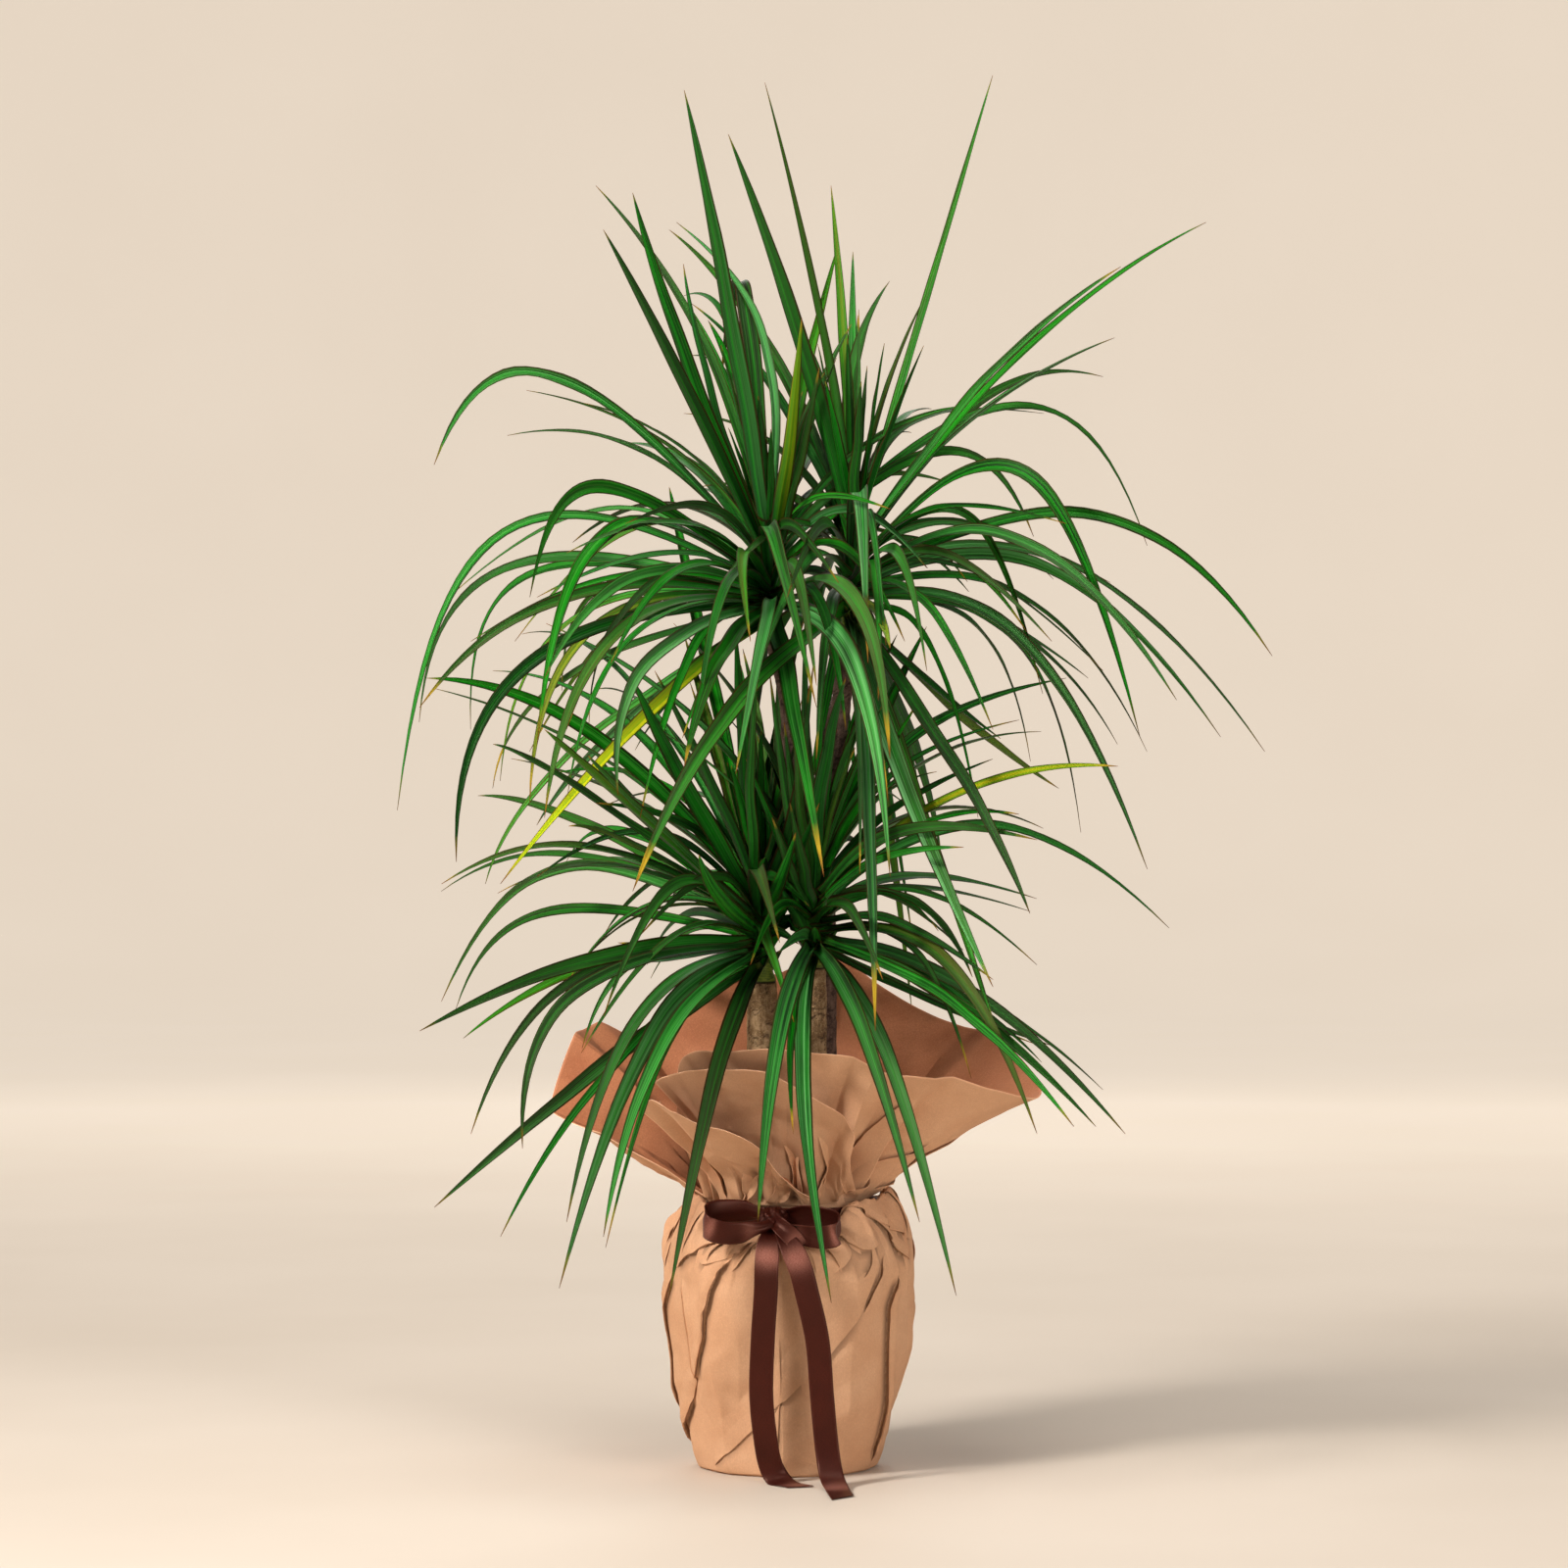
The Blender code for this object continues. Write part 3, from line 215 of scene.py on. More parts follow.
# Leaves with a look of their own, by their row above: how yellow the blade is, how much pale
# sheen is painted on it, and the share of its length at the tip that has dried
TINTS = {
    "crown_top_left": {
        0: (0.15, 0.25, 0.02), 1: (0.05, 0, 0.02), 4: (0, 0.7, 0.03), 7: (0.85, 0, 0.05),
        8: (0.3, 0, 0.03), 10: (0.1, 0.3, 0.04), 14: (0, 0.5, 0.04), 16: (0.25, 0.2, 0.1),
        20: (0.3, 0.1, 0.1), 22: (0, 0.7, 0.04), 23: (1.0, 0, 0.06), 24: (0.3, 0.2, 0.25),
        26: (0.8, 0, 0.1), 27: (0, 0.6, 0.04), 29: (0.1, 0.15, 0.06), 30: (0.05, 0.6, 0.06),
        31: (0.1, 0, 0.08), 32: (0, 0.1, 0.13), 33: (0.1, 0.75, 0.04), 34: (0.3, 0.1, 0.12),
    },
    "crown_top_right": {
        0: (0.05, 0, 0.02), 1: (0.4, 0.1, 0.03), 3: (0.45, 0.1, 0.03), 6: (0.2, 0.3, 0.03),
        12: (0.1, 0.5, 0.04), 14: (0.15, 0.4, 0.04), 20: (0.05, 0.75, 0.14), 21: (0.15, 0, 0.15),
        23: (0.15, 1.0, 0.05), 24: (0, 0.5, 0.16), 26: (0.25, 0.2, 0.1), 27: (0.05, 0.1, 0.05),
        28: (0.6, 0.2, 0.1),
        29: (0.9, 0, 0.1),
    },
    "crown_low_left": {
        0: (0, 0.15, 0.03), 6: (0.35, 0.1, 0.05), 10: (0, 0.5, 0.04), 11: (0.1, 0.35, 0.04),
        12: (0.1, 0.35, 0.04), 16: (0.3, 0.1, 0.06), 19: (0, 0, 0.03), 27: (0, 0, 0.03),
        29: (0.4, 0.1, 0.05), 31: (0.4, 0.1, 0.05),
    },
    "crown_low_right": {
        0: (0, 0, 0.03), 2: (0.8, 0.1, 0.08), 3: (0.1, 0.15, 0.06), 6: (0.05, 0.4, 0.04),
        7: (0.05, 0.5, 0.04), 9: (0, 0.35, 0.04), 12: (0.05, 0.15, 0.06), 14: (0, 0.3, 0.03),
        15: (0, 0.75, 0.04),
    },
}

# Blades: counts across and along, how many have a narrow companion, and thickness
BLADE_ACROSS = 8
BLADE_ALONG = 28
SHEATH_ALONG = 9
COMPANIONS = 16
MIDRIB_THICKNESS = 0.75
MARGIN_THICKNESS = 0.35
LEAF_MARKS = ("across", "along", "run", "under", "own", "gold", "silver", "dry")

# Short straight leaves of each head: how many, from which share of its height and over how much
# of it, their rise in degrees, length and width, then how dry and at most how yellow they are
YOUNG = (8, 0.78, 0.2, (62, 84), (70, 150), (6, 9), 0.03, 0.15, BLADE_ALONG)
SHEATHS = (26, 0.03, 0.9, (48, 66), (19, 30), (9, 12), 0, 0.1, SHEATH_ALONG)

# Paper, as in the model: its thickness, its neck, the reach and height of the collar's rim by
# direction in degrees, and those of the two turned layers and how far they stand off
PAPER = 0.5
NECK_HEIGHT = 182
NECK_RADIUS = 56
RIM = [
    (-10, 172, 252), (8, 168, 268), (25, 158, 288), (42, 140, 300), (58, 122, 322), (75, 120, 344),
    (92, 118, 330), (110, 118, 327), (127, 118, 305), (141, 126, 279), (155, 145, 297), (168, 150, 291),
    (182, 161, 243), (197, 125, 224), (207, 93, 206), (213, 72, 191), (216, 70, 192), (220, 92, 232),
    (231, 112, 280), (250, 110, 287), (270, 108, 287), (290, 110, 284), (308, 118, 270), (325, 135, 267),
    (340, 158, 257),
]
UPPER_FLAP = [
    (225, 124, 266), (236, 123, 274), (249, 120, 276), (262, 117, 273), (272, 114, 264), (283, 108, 253),
    (291, 102, 244), (295, 98, 236), (298, 96, 227), (299.5, 85, 214), (302.5, 81, 201), (306, 78, 192),
]
LOWER_FLAP = [
    (222, 130, 248), (228, 134, 254), (235, 132, 249), (242, 127, 241), (252, 118, 234), (260, 108, 222),
    (266, 96, 205), (274, 84, 194), (282, 77, 189),
]
UPPER_STANDOFF = 1.9
LOWER_STANDOFF = 3.8

# The wrapped body from the middle of its foot up to the collar, by place: radius and height where
# the shoulder lies flat, then the same where it puffs up
PROFILE = [
    (0, 58, 0, 58, 0), (1, 63, 4, 63, 4), (2, 71, 30, 71, 30), (3, 78.5, 60, 78.5, 60),
    (4, 85.5, 100, 85.5, 100), (5, 89, 135, 88.5, 132), (6, 88, 149, 87.5, 148),
    (7, 82, 156.5, 82.5, 161), (8, 72, 160, 75, 171), (9, 66, 161.5, 68.5, 177.5),
    (10, 63.6, 162.5, 64.6, 176), (11, 62, 163.3, 62.9, 168), (12, 59.5, 164, 59.5, 164.4),
    (13, 57, 167, 57, 167), (14, 56, 182, 56, 182),
]
# How much it puffs up by direction, and how far up the sheet each place is
PUFFED = [
    (0, 1.62), (14, 1.5), (30, 1.2), (56, 0.6), (84, 0.25), (112, 0.5), (146, 0.9), (180, 1.2), (206, 1.4),
    (222, 1.1), (236, 0.3), (258, 0), (288, 0), (298, 0.4), (306, 1.1), (318, 1.5), (340, 1.6),
]
ALONG = [
    (0, 0), (1, 4), (2, 30), (3, 60), (4, 100), (5, 134), (6, 148), (7, 158), (8, 168), (9, 176), (10, 180),
    (11, 186), (12, 190), (13, 194), (14, 208),
]
# How strongly it is gathered by the length up the sheet, its corners in degrees, and the height
# and radius of its lining
GATHER = [(0, 0), (96, 0), (124, 0.12), (144, 0.7), (158, 1), (176, 0.9), (186, 0.45), (208, 0.45)]
PANELS = [12, 48, 90, 128, 163, 196, 231, 268, 303, 331, 352]
LINING = [(0.6, 54), (60, 66), (130, 76), (147, 73), (157, 60), (165, 54.5), (181, 54.5), (190, 54.5)]

# Pleats of the body: direction in degrees against the length up the sheet along each fold, then how
# high it stands off and how wide it takes to lie down again
FOLDS = [
    ([(185, 13), (196, 32), (218, 68), (227, 95), (234, 127), (238, 139), (246, 150)], 4.4, 15),
    ([(213, 137), (215, 115), (215, 80), (214, 62), (203, 40)], 3.6, 9),
    ([(185, 37), (187, 56), (196, 112), (205, 139)], 3.2, 14),
    ([(216, 3), (235, 17), (252, 33), (268, 50)], 1.5, 22),
    ([(257, 40), (272, 57), (281, 69), (292, 83), (301, 100), (308, 117), (312, 130), (315, 144)], 1.8, 24),
    ([(321, 152), (316, 132), (308, 108)], 2.8, 9),
    ([(264, 12), (267, 60), (266, 100)], 1.0, 10),
    ([(286, 14), (281, 66), (280, 90)], 1.2, 12),
    ([(334, 138), (327, 112), (326, 94), (329, 54), (330, 35), (333, 4)], 4.2, 12),
    ([(338, 34), (350, 48), (352, 64), (350, 118)], 2.4, 14),
    ([(206, 140), (217, 147), (225, 151), (234, 158), (243, 166)], 2.8, 13),
    ([(224, 150), (231, 143), (238, 146), (247, 152), (255, 166)], 2.2, 9),
    ([(243, 136), (250, 148), (258, 166)], 2.0, 7),
    ([(269, 166), (266, 150), (261, 132)], 1.8, 8),
    ([(277, 166), (281, 150), (284, 134)], 1.8, 8),
    ([(292, 176), (300, 160), (306, 153), (314, 152), (320, 162)], 2.8, 9),
    ([(290, 136), (297, 145), (300, 152), (300, 166)], 2.4, 9),
    ([(313, 156), (312, 145), (305, 134)], 2.0, 8),
    ([(315, 174), (326, 160), (334, 150), (346, 142)], 3.0, 9),
    ([(340, 136), (345, 155), (343, 170), (336, 184)], 2.8, 10),
    ([(2, 146), (354, 158), (350, 178)], 2.6, 10),
    ([(300, 186), (312, 172), (330, 160), (352, 152)], 2.6, 8),
    ([(22, 5), (16, 30), (12, 80), (20, 132)], 3.0, 18),
    ([(62, 147), (52, 90), (48, 40), (40, 8)], 2.6, 16),
    ([(108, 12), (96, 60), (92, 110), (100, 152)], 3.2, 18),
    ([(138, 142), (130, 90), (126, 50), (130, 10)], 2.6, 15),
    ([(165, 8), (158, 55), (160, 100), (168, 152)], 2.8, 16),
    ([(182, 150), (190, 160), (204, 180)], 2.6, 10),
    ([(36, 150), (44, 112), (38, 70)], 2.0, 10), ([(78, 8), (84, 40), (76, 78), (80, 100)], 2.2, 13),
    ([(120, 146), (114, 110), (118, 74)], 2.4, 12), ([(148, 12), (143, 40), (148, 70)], 2.0, 12),
    ([(60, 172), (68, 158), (74, 146)], 2.2, 9), ([(118, 142), (108, 158), (104, 172)], 2.2, 9),
    ([(0, 12), (6, 44), (4, 84), (10, 118)], 2.2, 14),
]
# Pleats of the collar and of its two layers, by the share of their height in percent
COLLAR_FOLDS = [
    ([(246, 1), (243, 20), (236, 44)], 3.2, 12), ([(262, 38), (265, 20), (262, 1)], 3.0, 12),
    ([(291, 60), (293, 28), (290, 2)], 3.0, 14), ([(318, 88), (310, 44), (301, 2)], 2.6, 20),
    ([(338, 62), (326, 30), (312, 2)], 2.6, 14), ([(200, 60), (204, 24), (206, 2)], 2.4, 10),
    ([(352, 70), (346, 30), (335, 2)], 2.4, 14), ([(20, 70), (28, 34), (34, 2)], 2.6, 12),
    ([(75, 84), (70, 40), (62, 2)], 2.8, 14), ([(108, 70), (112, 36), (104, 2)], 2.6, 14),
    ([(152, 66), (147, 32), (140, 2)], 2.6, 12), ([(48, 48), (52, 22), (49, 2)], 2.2, 10),
    ([(90, 44), (86, 20), (88, 2)], 2.2, 10), ([(128, 50), (127, 24), (122, 2)], 2.2, 10),
]
UPPER_FOLDS = [
    ([(283, 74), (290, 44), (286, 18), (291, 1)], 2.8, 9), ([(268, 48), (273, 24), (270, 1)], 3.0, 9),
    ([(281, 1), (280, 20), (276, 44)], 2.6, 9),
]
LOWER_FOLDS = [
    ([(228, 2), (233, 28), (231, 52)], 2.6, 8), ([(248, 44), (245, 24), (240, 1)], 2.8, 9),
    ([(243, 1), (250, 18), (254, 36)], 2.8, 7), ([(266, 50), (262, 26), (256, 1)], 2.6, 10),
    ([(262, 1), (268, 14), (273, 32)], 2.4, 7),
]
# What a collar's full height counts as there, and the columns of a turned layer
COLLAR_RUN = 100
LAYER_COLUMNS = 124

# The turned edge of a pleat: distance to its left, share of its height, and how much shade is painted on it
PLEAT_TURN = [(-0.22, 0.95, 0.1), (-0.30, 0.84, 0.6), (0.2, 0.66, 1.0), (1.3, 0.35, 1.0), (2.6, 0.0, 1.0)]
PLEAT_SUNK = 0.4
# Tucks at the tie and the knot's direction, hollows of the collar by direction, depth and width,
# the radius that the body is rolled out at, and the least angle of a sharp crease
TUCKS = 34
KNOT_TURN = 263
VALLEYS = [(253, 5, 3.5), (275, 7, 4.5), (310, 6, 5)]
ROUND_SIZE = 84.0
CRISP_ANGLE = 16
# Crumpling draws its heights by mixing whole numbers
HASH_FACTORS = (73856093, 19349663, 83492791)
HASH_SEED = 7919
HASH_SIZE = 99991

# Ribbon, as in the model
RIBBON_WIDTH = 16
RIBBON_THICKNESS = 0.35
RIBBON_ACROSS = 11
PICOT = 0.12
PICOT_PERIOD = 1.68
BAND_RADIUS = 60.4
BAND_MIDDLE = 173.5
BAND_WIDTH = 14
KNOT = (-9, -70, 174.5)
LEFT_TAIL = [
    (-9, -72, 172), (-12, -91, 162), (-13.5, -97, 146), (-14, -97, 128), (-16, -95, 96), (-17, -93, 60),
    (-14, -88, 28), (-10, -85, 10), (-3, -90, 2.2), (9, -104, 1.0),
]
RIGHT_TAIL = [
    (-8, -72, 172), (0, -91, 162), (8, -98, 146), (13, -99, 128), (20, -97, 96), (23, -96, 60),
    (26, -97, 28), (29, -104, 9), (33, -121, 1.8), (36, -150, 1.0),
]
CURL = [(-11, -80, 175), (-5, -87, 171), (3, -91, 164), (9, -90, 157), (7, -86, 153), (0, -82, 158)]

# Pot and soil, as in the model
POT_BASE_RADIUS = 53
POT_TOP_RADIUS = 74
POT_HEIGHT = 140
POT_WALL = 1.5
POT_RIM = 2.5
POT_FOOT = 1.5
DRAIN_RADIUS = 4.5
DRAIN_RING = 34
POT_CRISP_ANGLE = 35
SOIL_CROWN = 4
SOIL_BITS = 420

# Stage in metres, how much its far part glows, and the lamps: place, aim, size, power, colour and
# spread in degrees
FLOOR_REACH = 2.6
WALL_AWAY = 8.0
WALL_CURVE = 2.0
WALL_TOP = 9.0
FAR_GLOW = (0.61, 0.525, 0.43)
LAMPS = {
    "key": ((-1.8, -1.5, 1.7), (0, 0, 0.42), 0.6, 26.5, (1.0, 0.97, 0.93), 100),
    "fill": ((2.0, -2.6, 0.9), (0, 0, 0.36), 1.4, 16.5, (1.0, 0.97, 0.94), 120),
    "top": ((0.0, -0.5, 2.6), (0, 0, 0.4), 1.2, 30, (1.0, 0.98, 0.95), 180),
    "back": ((0.1, 3.0, 2.2), (0, 0, 0.4), 2.4, 28, (1.0, 0.96, 0.90), 180),
}


# Meshes

def linked(name, data):
    """A new object in the scene."""
    made = bpy.data.objects.new(name, data)
    bpy.context.scene.collection.objects.link(made)
    return made


def piece(name, part, materials, nodes, looks=None, crisp=False):
    """A smooth mesh on the body, standing for solids, from points in millimetres, faces and marks."""
    points, faces, marks = part
    mesh = bpy.data.meshes.new(name)
    mesh.from_pydata(np.asarray(points, float) * MM, [], faces)
    for key, values in marks.items():
        mesh.attributes.new(key, "FLOAT", "POINT").data.foreach_set("value", np.asarray(values, np.float32))
    for finish in materials:
        mesh.materials.append(finish)
    if looks is not None:
        mesh.polygons.foreach_set("material_index", np.asarray(looks, np.int32))
    mesh.shade_smooth()
    if crisp:
        mesh.set_sharp_from_angle(angle=math.radians(CRISP_ANGLE))
    mesh.update()
    made = linked(name, mesh)
    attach(made, "root")
    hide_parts(*nodes)
    return made


def grid_faces(rows, columns, ring=False, start=0):
    """Faces of a grid of points kept row after row, its columns closed into a ring if asked."""
    across = columns if ring else columns - 1
    i, k = np.meshgrid(np.arange(rows - 1), np.arange(across), indexing="ij")
    a = start + i * columns + k
    b = start + i * columns + (k + 1) % columns
    return np.stack([a, b, b + columns, a + columns], -1).reshape(-1, 4).tolist()


def tube_faces(rows, sides):
    """Faces of a tube of rings that is closed at both ends."""
    ends = [list(range(sides))[::-1], list(range((rows - 1) * sides, rows * sides))]
    return grid_faces(rows, sides, ring=True) + ends


def joined(parts):
    """Several parts as one. A mark that a part lacks is 0 there."""
    faces, start, marks = [], 0, {name: [] for *_, own in parts for name in own}
    for points, its_faces, own in parts:
        faces += [[i + start for i in face] for face in its_faces]
        start += len(points)
        for name, values in marks.items():
            values.append(np.broadcast_to(own.get(name, 0.0), len(points)))
    points = np.concatenate([points for points, *_ in parts])
    return points, faces, {name: np.concatenate(values) for name, values in marks.items()}


def lengths(points):
    """How far along a line each of its points is."""
    return np.concatenate([[0], np.cumsum(np.linalg.norm(np.diff(points, axis=0), axis=1))])


def thin_sheet(upper, lower, **marks):
    """A thin closed part from its two faces, with the same marks on both."""
    rows, columns = shape = upper.shape[:2]
    size = rows * columns
    last = size - columns
    rims = []
    for k in range(columns - 1):
        rims += [(last + k, last + k + 1), (k + 1, k)]
    for i in range(0, last, columns):
        rims += [(i, i + columns), (i + 2 * columns - 1, i + columns - 1)]
    faces = grid_faces(rows, columns) + [face[::-1] for face in grid_faces(rows, columns, start=size)]
    faces += [(a, b, b + size, a + size) for a, b in rims]
    both = {name: np.tile(np.broadcast_to(mark, shape).ravel(), 2) for name, mark in marks.items()}
    return np.concatenate([upper.reshape(-1, 3), lower.reshape(-1, 3)]), faces, both


def polar(radius, a, height):
    """Points at a radius, an angle and a height."""
    return np.stack(np.broadcast_arrays(radius * np.cos(a), radius * np.sin(a), height), -1)


def between(table, at):
    """A smooth line through rows of (place, value, ...), read at many places."""
    table = np.asarray(table, float)
    places, values = table[:, 0], table[:, 1:]
    at = np.clip(np.asarray(at, float), places[0], places[-1])
    i = np.clip(np.searchsorted(places, at, side="right") - 1, 0, len(places) - 2)
    slopes = np.empty_like(values)
    slopes[1:-1] = (values[2:] - values[:-2]) / (places[2:] - places[:-2])[:, None]
    slopes[0] = (values[1] - values[0]) / (places[1] - places[0])
    slopes[-1] = (values[-1] - values[-2]) / (places[-1] - places[-2])
    span = (places[i + 1] - places[i])[..., None]
    t = (at - places[i])[..., None] / span
    return (
        (2 * t**3 - 3 * t**2 + 1) * values[i] + (t**3 - 2 * t**2 + t) * slopes[i] * span
        + (3 * t**2 - 2 * t**3) * values[i + 1] + (t**3 - t**2) * slopes[i + 1] * span
    )


def around(table, degrees):
    """The same for a closed ring, whose places are directions in degrees."""
    start = table[0][0]
    closed = [(row[0] - 360, *row[1:]) for row in table[-2:]] + list(table)
    closed += [(row[0] + 360, *row[1:]) for row in table[:2]]
    return between(closed, start + (np.asarray(degrees, float) - start) % 360)


def smooth_step(low, high, at):
    t = np.clip((at - low) / (high - low), 0, 1)
    return t * t * (3 - 2 * t)


def bell(at, width):
    return np.exp(-((at / width) ** 2))


def facets(points, size, seed):
    """Crumpled noise from -1 to 1: flat faces that meet in straight creases."""
    place = np.asarray(points, float) / size + 100
    cell = np.floor(place).astype(int)
    part = place - cell
    order = np.argsort(-part, axis=-1)
    ranked = np.take_along_axis(part, order, axis=-1)
    edges = [1, ranked[..., 0], ranked[..., 1], ranked[..., 2], 0]
    corner, total = cell.copy(), 0
    for step in range(4):
        mixed = np.bitwise_xor.reduce(corner * HASH_FACTORS, axis=-1)
        mixed = (mixed + seed * HASH_SEED) % HASH_SIZE
        value = (mixed * mixed % HASH_SIZE) / HASH_SIZE * 2 - 1
        total = total + (edges[step] - edges[step + 1]) * value
        if step < 3:
            corner = corner + np.eye(3, dtype=int)[order[..., step]]
    return total


# Materials

class Finish:
    """A procedural material: a Principled shader and the nodes that feed it."""

    def __init__(self, name, roughness, specular, **constant):
        self.material = bpy.data.materials.new(name)
        self.material.use_nodes = True
        self.tree = self.material.node_tree
        self.shader = self.tree.nodes["Principled BSDF"]
        self.shader.inputs["Roughness"].default_value = roughness
        self.shader.inputs["Specular IOR Level"].default_value = specular
        for key, value in constant.items():
            self.shader.inputs[key.replace("_", " ")].default_value = value

    def node(self, kind, inputs=None, **settings):
        made = self.tree.nodes.new(kind)
        for key, value in settings.items():
            setattr(made, key, value)
        for key, value in (inputs or {}).items():
            self.feed(made.inputs[key], value)
        return made

    def feed(self, socket, value):
        if isinstance(value, bpy.types.NodeSocket):
            self.tree.links.new(value, socket)
        elif isinstance(value, tuple) and len(value) == 3 and socket.type == "RGBA":
            socket.default_value = (*value, 1)
        else:
            socket.default_value = value

    def mark(self, name):
        return self.node("ShaderNodeAttribute", attribute_name=name).outputs["Fac"]

    def place(self, scale=(1, 1, 1)):
        """The point on the object in metres, stretched."""
        there = self.node("ShaderNodeTexCoord").outputs["Object"]
        return self.node("ShaderNodeVectorMath", {0: there, 1: scale}, operation="MULTIPLY").outputs[0]

    def vector(self, x, y, z=0.0):
        return self.node("ShaderNodeCombineXYZ", {0: x, 1: y, 2: z}).outputs[0]

    def maths(self, operation, a, b=0.0):
        return self.node("ShaderNodeMath", {0: a, 1: b}, operation=operation).outputs[0]

    def times(self, a, b):
        return self.maths("MULTIPLY", a, b)

    def plus(self, a, b):
        return self.maths("ADD", a, b)

    def noise(self, where, scale, detail=2.0, roughness=0.5):
        inputs = {"Vector": where, "Scale": scale, "Detail": detail, "Roughness": roughness}
        return self.node("ShaderNodeTexNoise", inputs).outputs["Fac"]

    def span(self, value, low, high, to_low=0.0, to_high=1.0):
        inputs = {"Value": value, "From Min": low, "From Max": high, "To Min": to_low, "To Max": to_high}
        return self.node("ShaderNodeMapRange", inputs, clamp=True).outputs[0]

    def mix(self, share, a, b):
        return self.node("ShaderNodeMix", {0: share, 6: a, 7: b}, data_type="RGBA").outputs[2]

    def over(self, tone, colour, value, low, high, share=1.0):
        """A tone with a colour laid over it, up to a share, as a value rises from low to high."""
        return self.mix(self.span(value, low, high, 0.0, share), tone, colour)

    def bump(self, height, strength, distance):
        inputs = {"Height": height, "Strength": strength, "Distance": distance}
        self.feed(self.shader.inputs["Normal"], self.node("ShaderNodeBump", inputs).outputs[0])

    def colour(self, value):
        self.feed(self.shader.inputs["Base Color"], value)


def leaf_finish():
    """Deep green blade with lengthwise stripes, a red-brown margin, a dry tip and, on some blades, a pale
    sheen painted over the stripes.
    """
    leaf = Finish("dragon_leaf", 0.38, 0.12, Specular_Tint=(0.50, 1.0, 0.40, 1))
    across, along, run, under, own, gold, silver, dry = (leaf.mark(name) for name in LEAF_MARKS)
    shifted = leaf.times(own, 40.0)

    def lengthwise(count, length, detail, rough):
        where = leaf.vector(leaf.times(across, count), leaf.times(run, length), shifted)
        return leaf.noise(where, 1.0, detail, rough)

    stripes, fine = lengthwise(2.1, 1.6, 1.0, 0.4), lengthwise(13.0, 3.0, 2.0, 0.5)
    patches = lengthwise(0.8, 15.0, 2.0, 0.5)
    green = leaf.over((0.0003, 0.014, 0.0005), (0.0010, 0.130, 0.0012), stripes, 0.44, 0.56)
    green = leaf.over(green, (0.0025, 0.210, 0.0022), patches, 0.45, 0.70, 0.55)
    green = leaf.over(green, (0.0850, 0.340, 0.0450), fine, 0.50, 0.64, 0.36)
    shade = leaf.span(own, 0.0, 1.0, 0.27, 1.33)
    green = leaf.node("ShaderNodeVectorMath", {0: green, "Scale": shade}, operation="SCALE").outputs[0]
    # Painted sheen: a pale whitish green laid over the blade as a highlight, as much as the leaf's sheen mark
    # asks
    pale = leaf.over((0.016, 0.170, 0.024), (0.200, 0.480, 0.190), fine, 0.38, 0.62)
    sheen_share = leaf.times(silver, leaf.span(stripes, 0.35, 0.6, 0.3, 1.0))
    green = leaf.mix(leaf.times(sheen_share, 0.75), green, pale)
    yellow = leaf.over((0.50, 0.48, 0.006), (0.16, 0.32, 0.004), stripes, 0.36, 0.6)
    flush = leaf.span(leaf.plus(along, leaf.times(across, 0.18)), 0.15, 0.6)
    green = leaf.mix(leaf.times(leaf.maths("POWER", gold, 2.0), flush), green, yellow)
    # Some leaves turn a greyish olive towards their ends
    lot = leaf.maths("FRACT", leaf.times(own, 7.3))
    aged = leaf.times(leaf.span(lot, 0.50, 0.70), leaf.span(along, 0.10, 0.75, 0.15, 1.0))
    green = leaf.mix(leaf.times(aged, 0.55), green, (0.036, 0.052, 0.020))
    base = leaf.span(run, 0.002, 0.024, 1.0, 0.0)
    green = leaf.mix(leaf.times(base, 0.5), green, (0.040, 0.095, 0.008))
    green = leaf.mix(leaf.times(under, 0.35), green, (0.005, 0.070, 0.008))

    edge = leaf.maths("ABSOLUTE", across)
    green = leaf.mix(leaf.span(edge, 0.03, 0.11, 0.3, 0.0), green, (0.012, 0.27, 0.010))
    edge = leaf.plus(edge, leaf.times(leaf.span(patches, 0.3, 0.7, -1.0, 1.0), 0.03))
    green = leaf.over(green, (0.028, 0.009, 0.003), edge, 0.78, 0.88, 0.9)
    wither = leaf.span(leaf.plus(along, leaf.times(dry, 0.6)), 0.975, 1.02)
    tip = leaf.over((0.36, 0.23, 0.015), (0.15, 0.040, 0.012), along, 0.95, 1.0)
    leaf.colour(leaf.mix(wither, green, tip))
    leaf.feed(leaf.shader.inputs["Roughness"], leaf.span(fine, 0.3, 0.7, 0.30, 0.46))
    leaf.bump(leaf.plus(fine, leaf.times(stripes, 1.6)), 0.5, 0.0008)
    return leaf.material


def stem_finish():
    """Young green stem under the leaves."""
    stem = Finish("young_stem", 0.5, 0.3)
    grain = stem.noise(stem.place((1, 1, 3)), 260.0, 3.0)
    light = stem.over((0.070, 0.130, 0.010), (0.230, 0.290, 0.030), grain, 0.35, 0.65)
    stem.colour(stem.over(light, (0.030, 0.022, 0.008), stem.mark("groove"), 0.2, 0.8))
    stem.bump(grain, 0.3, 0.0005)
    return stem.material


def bark_finish(name, dark, mid, light):
    """Bark with a net of curved scars, flakes and pale crusts."""
    bark = Finish(name, 0.8, 0.2)
    streaks = bark.noise(bark.place((1, 1, 0.45)), 260.0, 4.0, 0.65)
    crusts = bark.noise(bark.place(), 90.0, 4.0, 0.6)
    specks = bark.noise(bark.place((1, 1, 1.5)), 800.0, 2.0)
    skin = bark.over(mid, light, streaks, 0.36, 0.62)
    skin = bark.over(skin, mid, crusts, 0.48, 0.62, 0.8)
    skin = bark.over(skin, tuple(min(1, 1.3 * c) for c in light), specks, 0.56, 0.68, 0.6)
    bark.colour(bark.over(skin, dark, bark.mark("groove"), 0.1, 0.9, 0.85))
    bark.bump(bark.plus(streaks, specks), 0.8, 0.0011)
    return bark.material


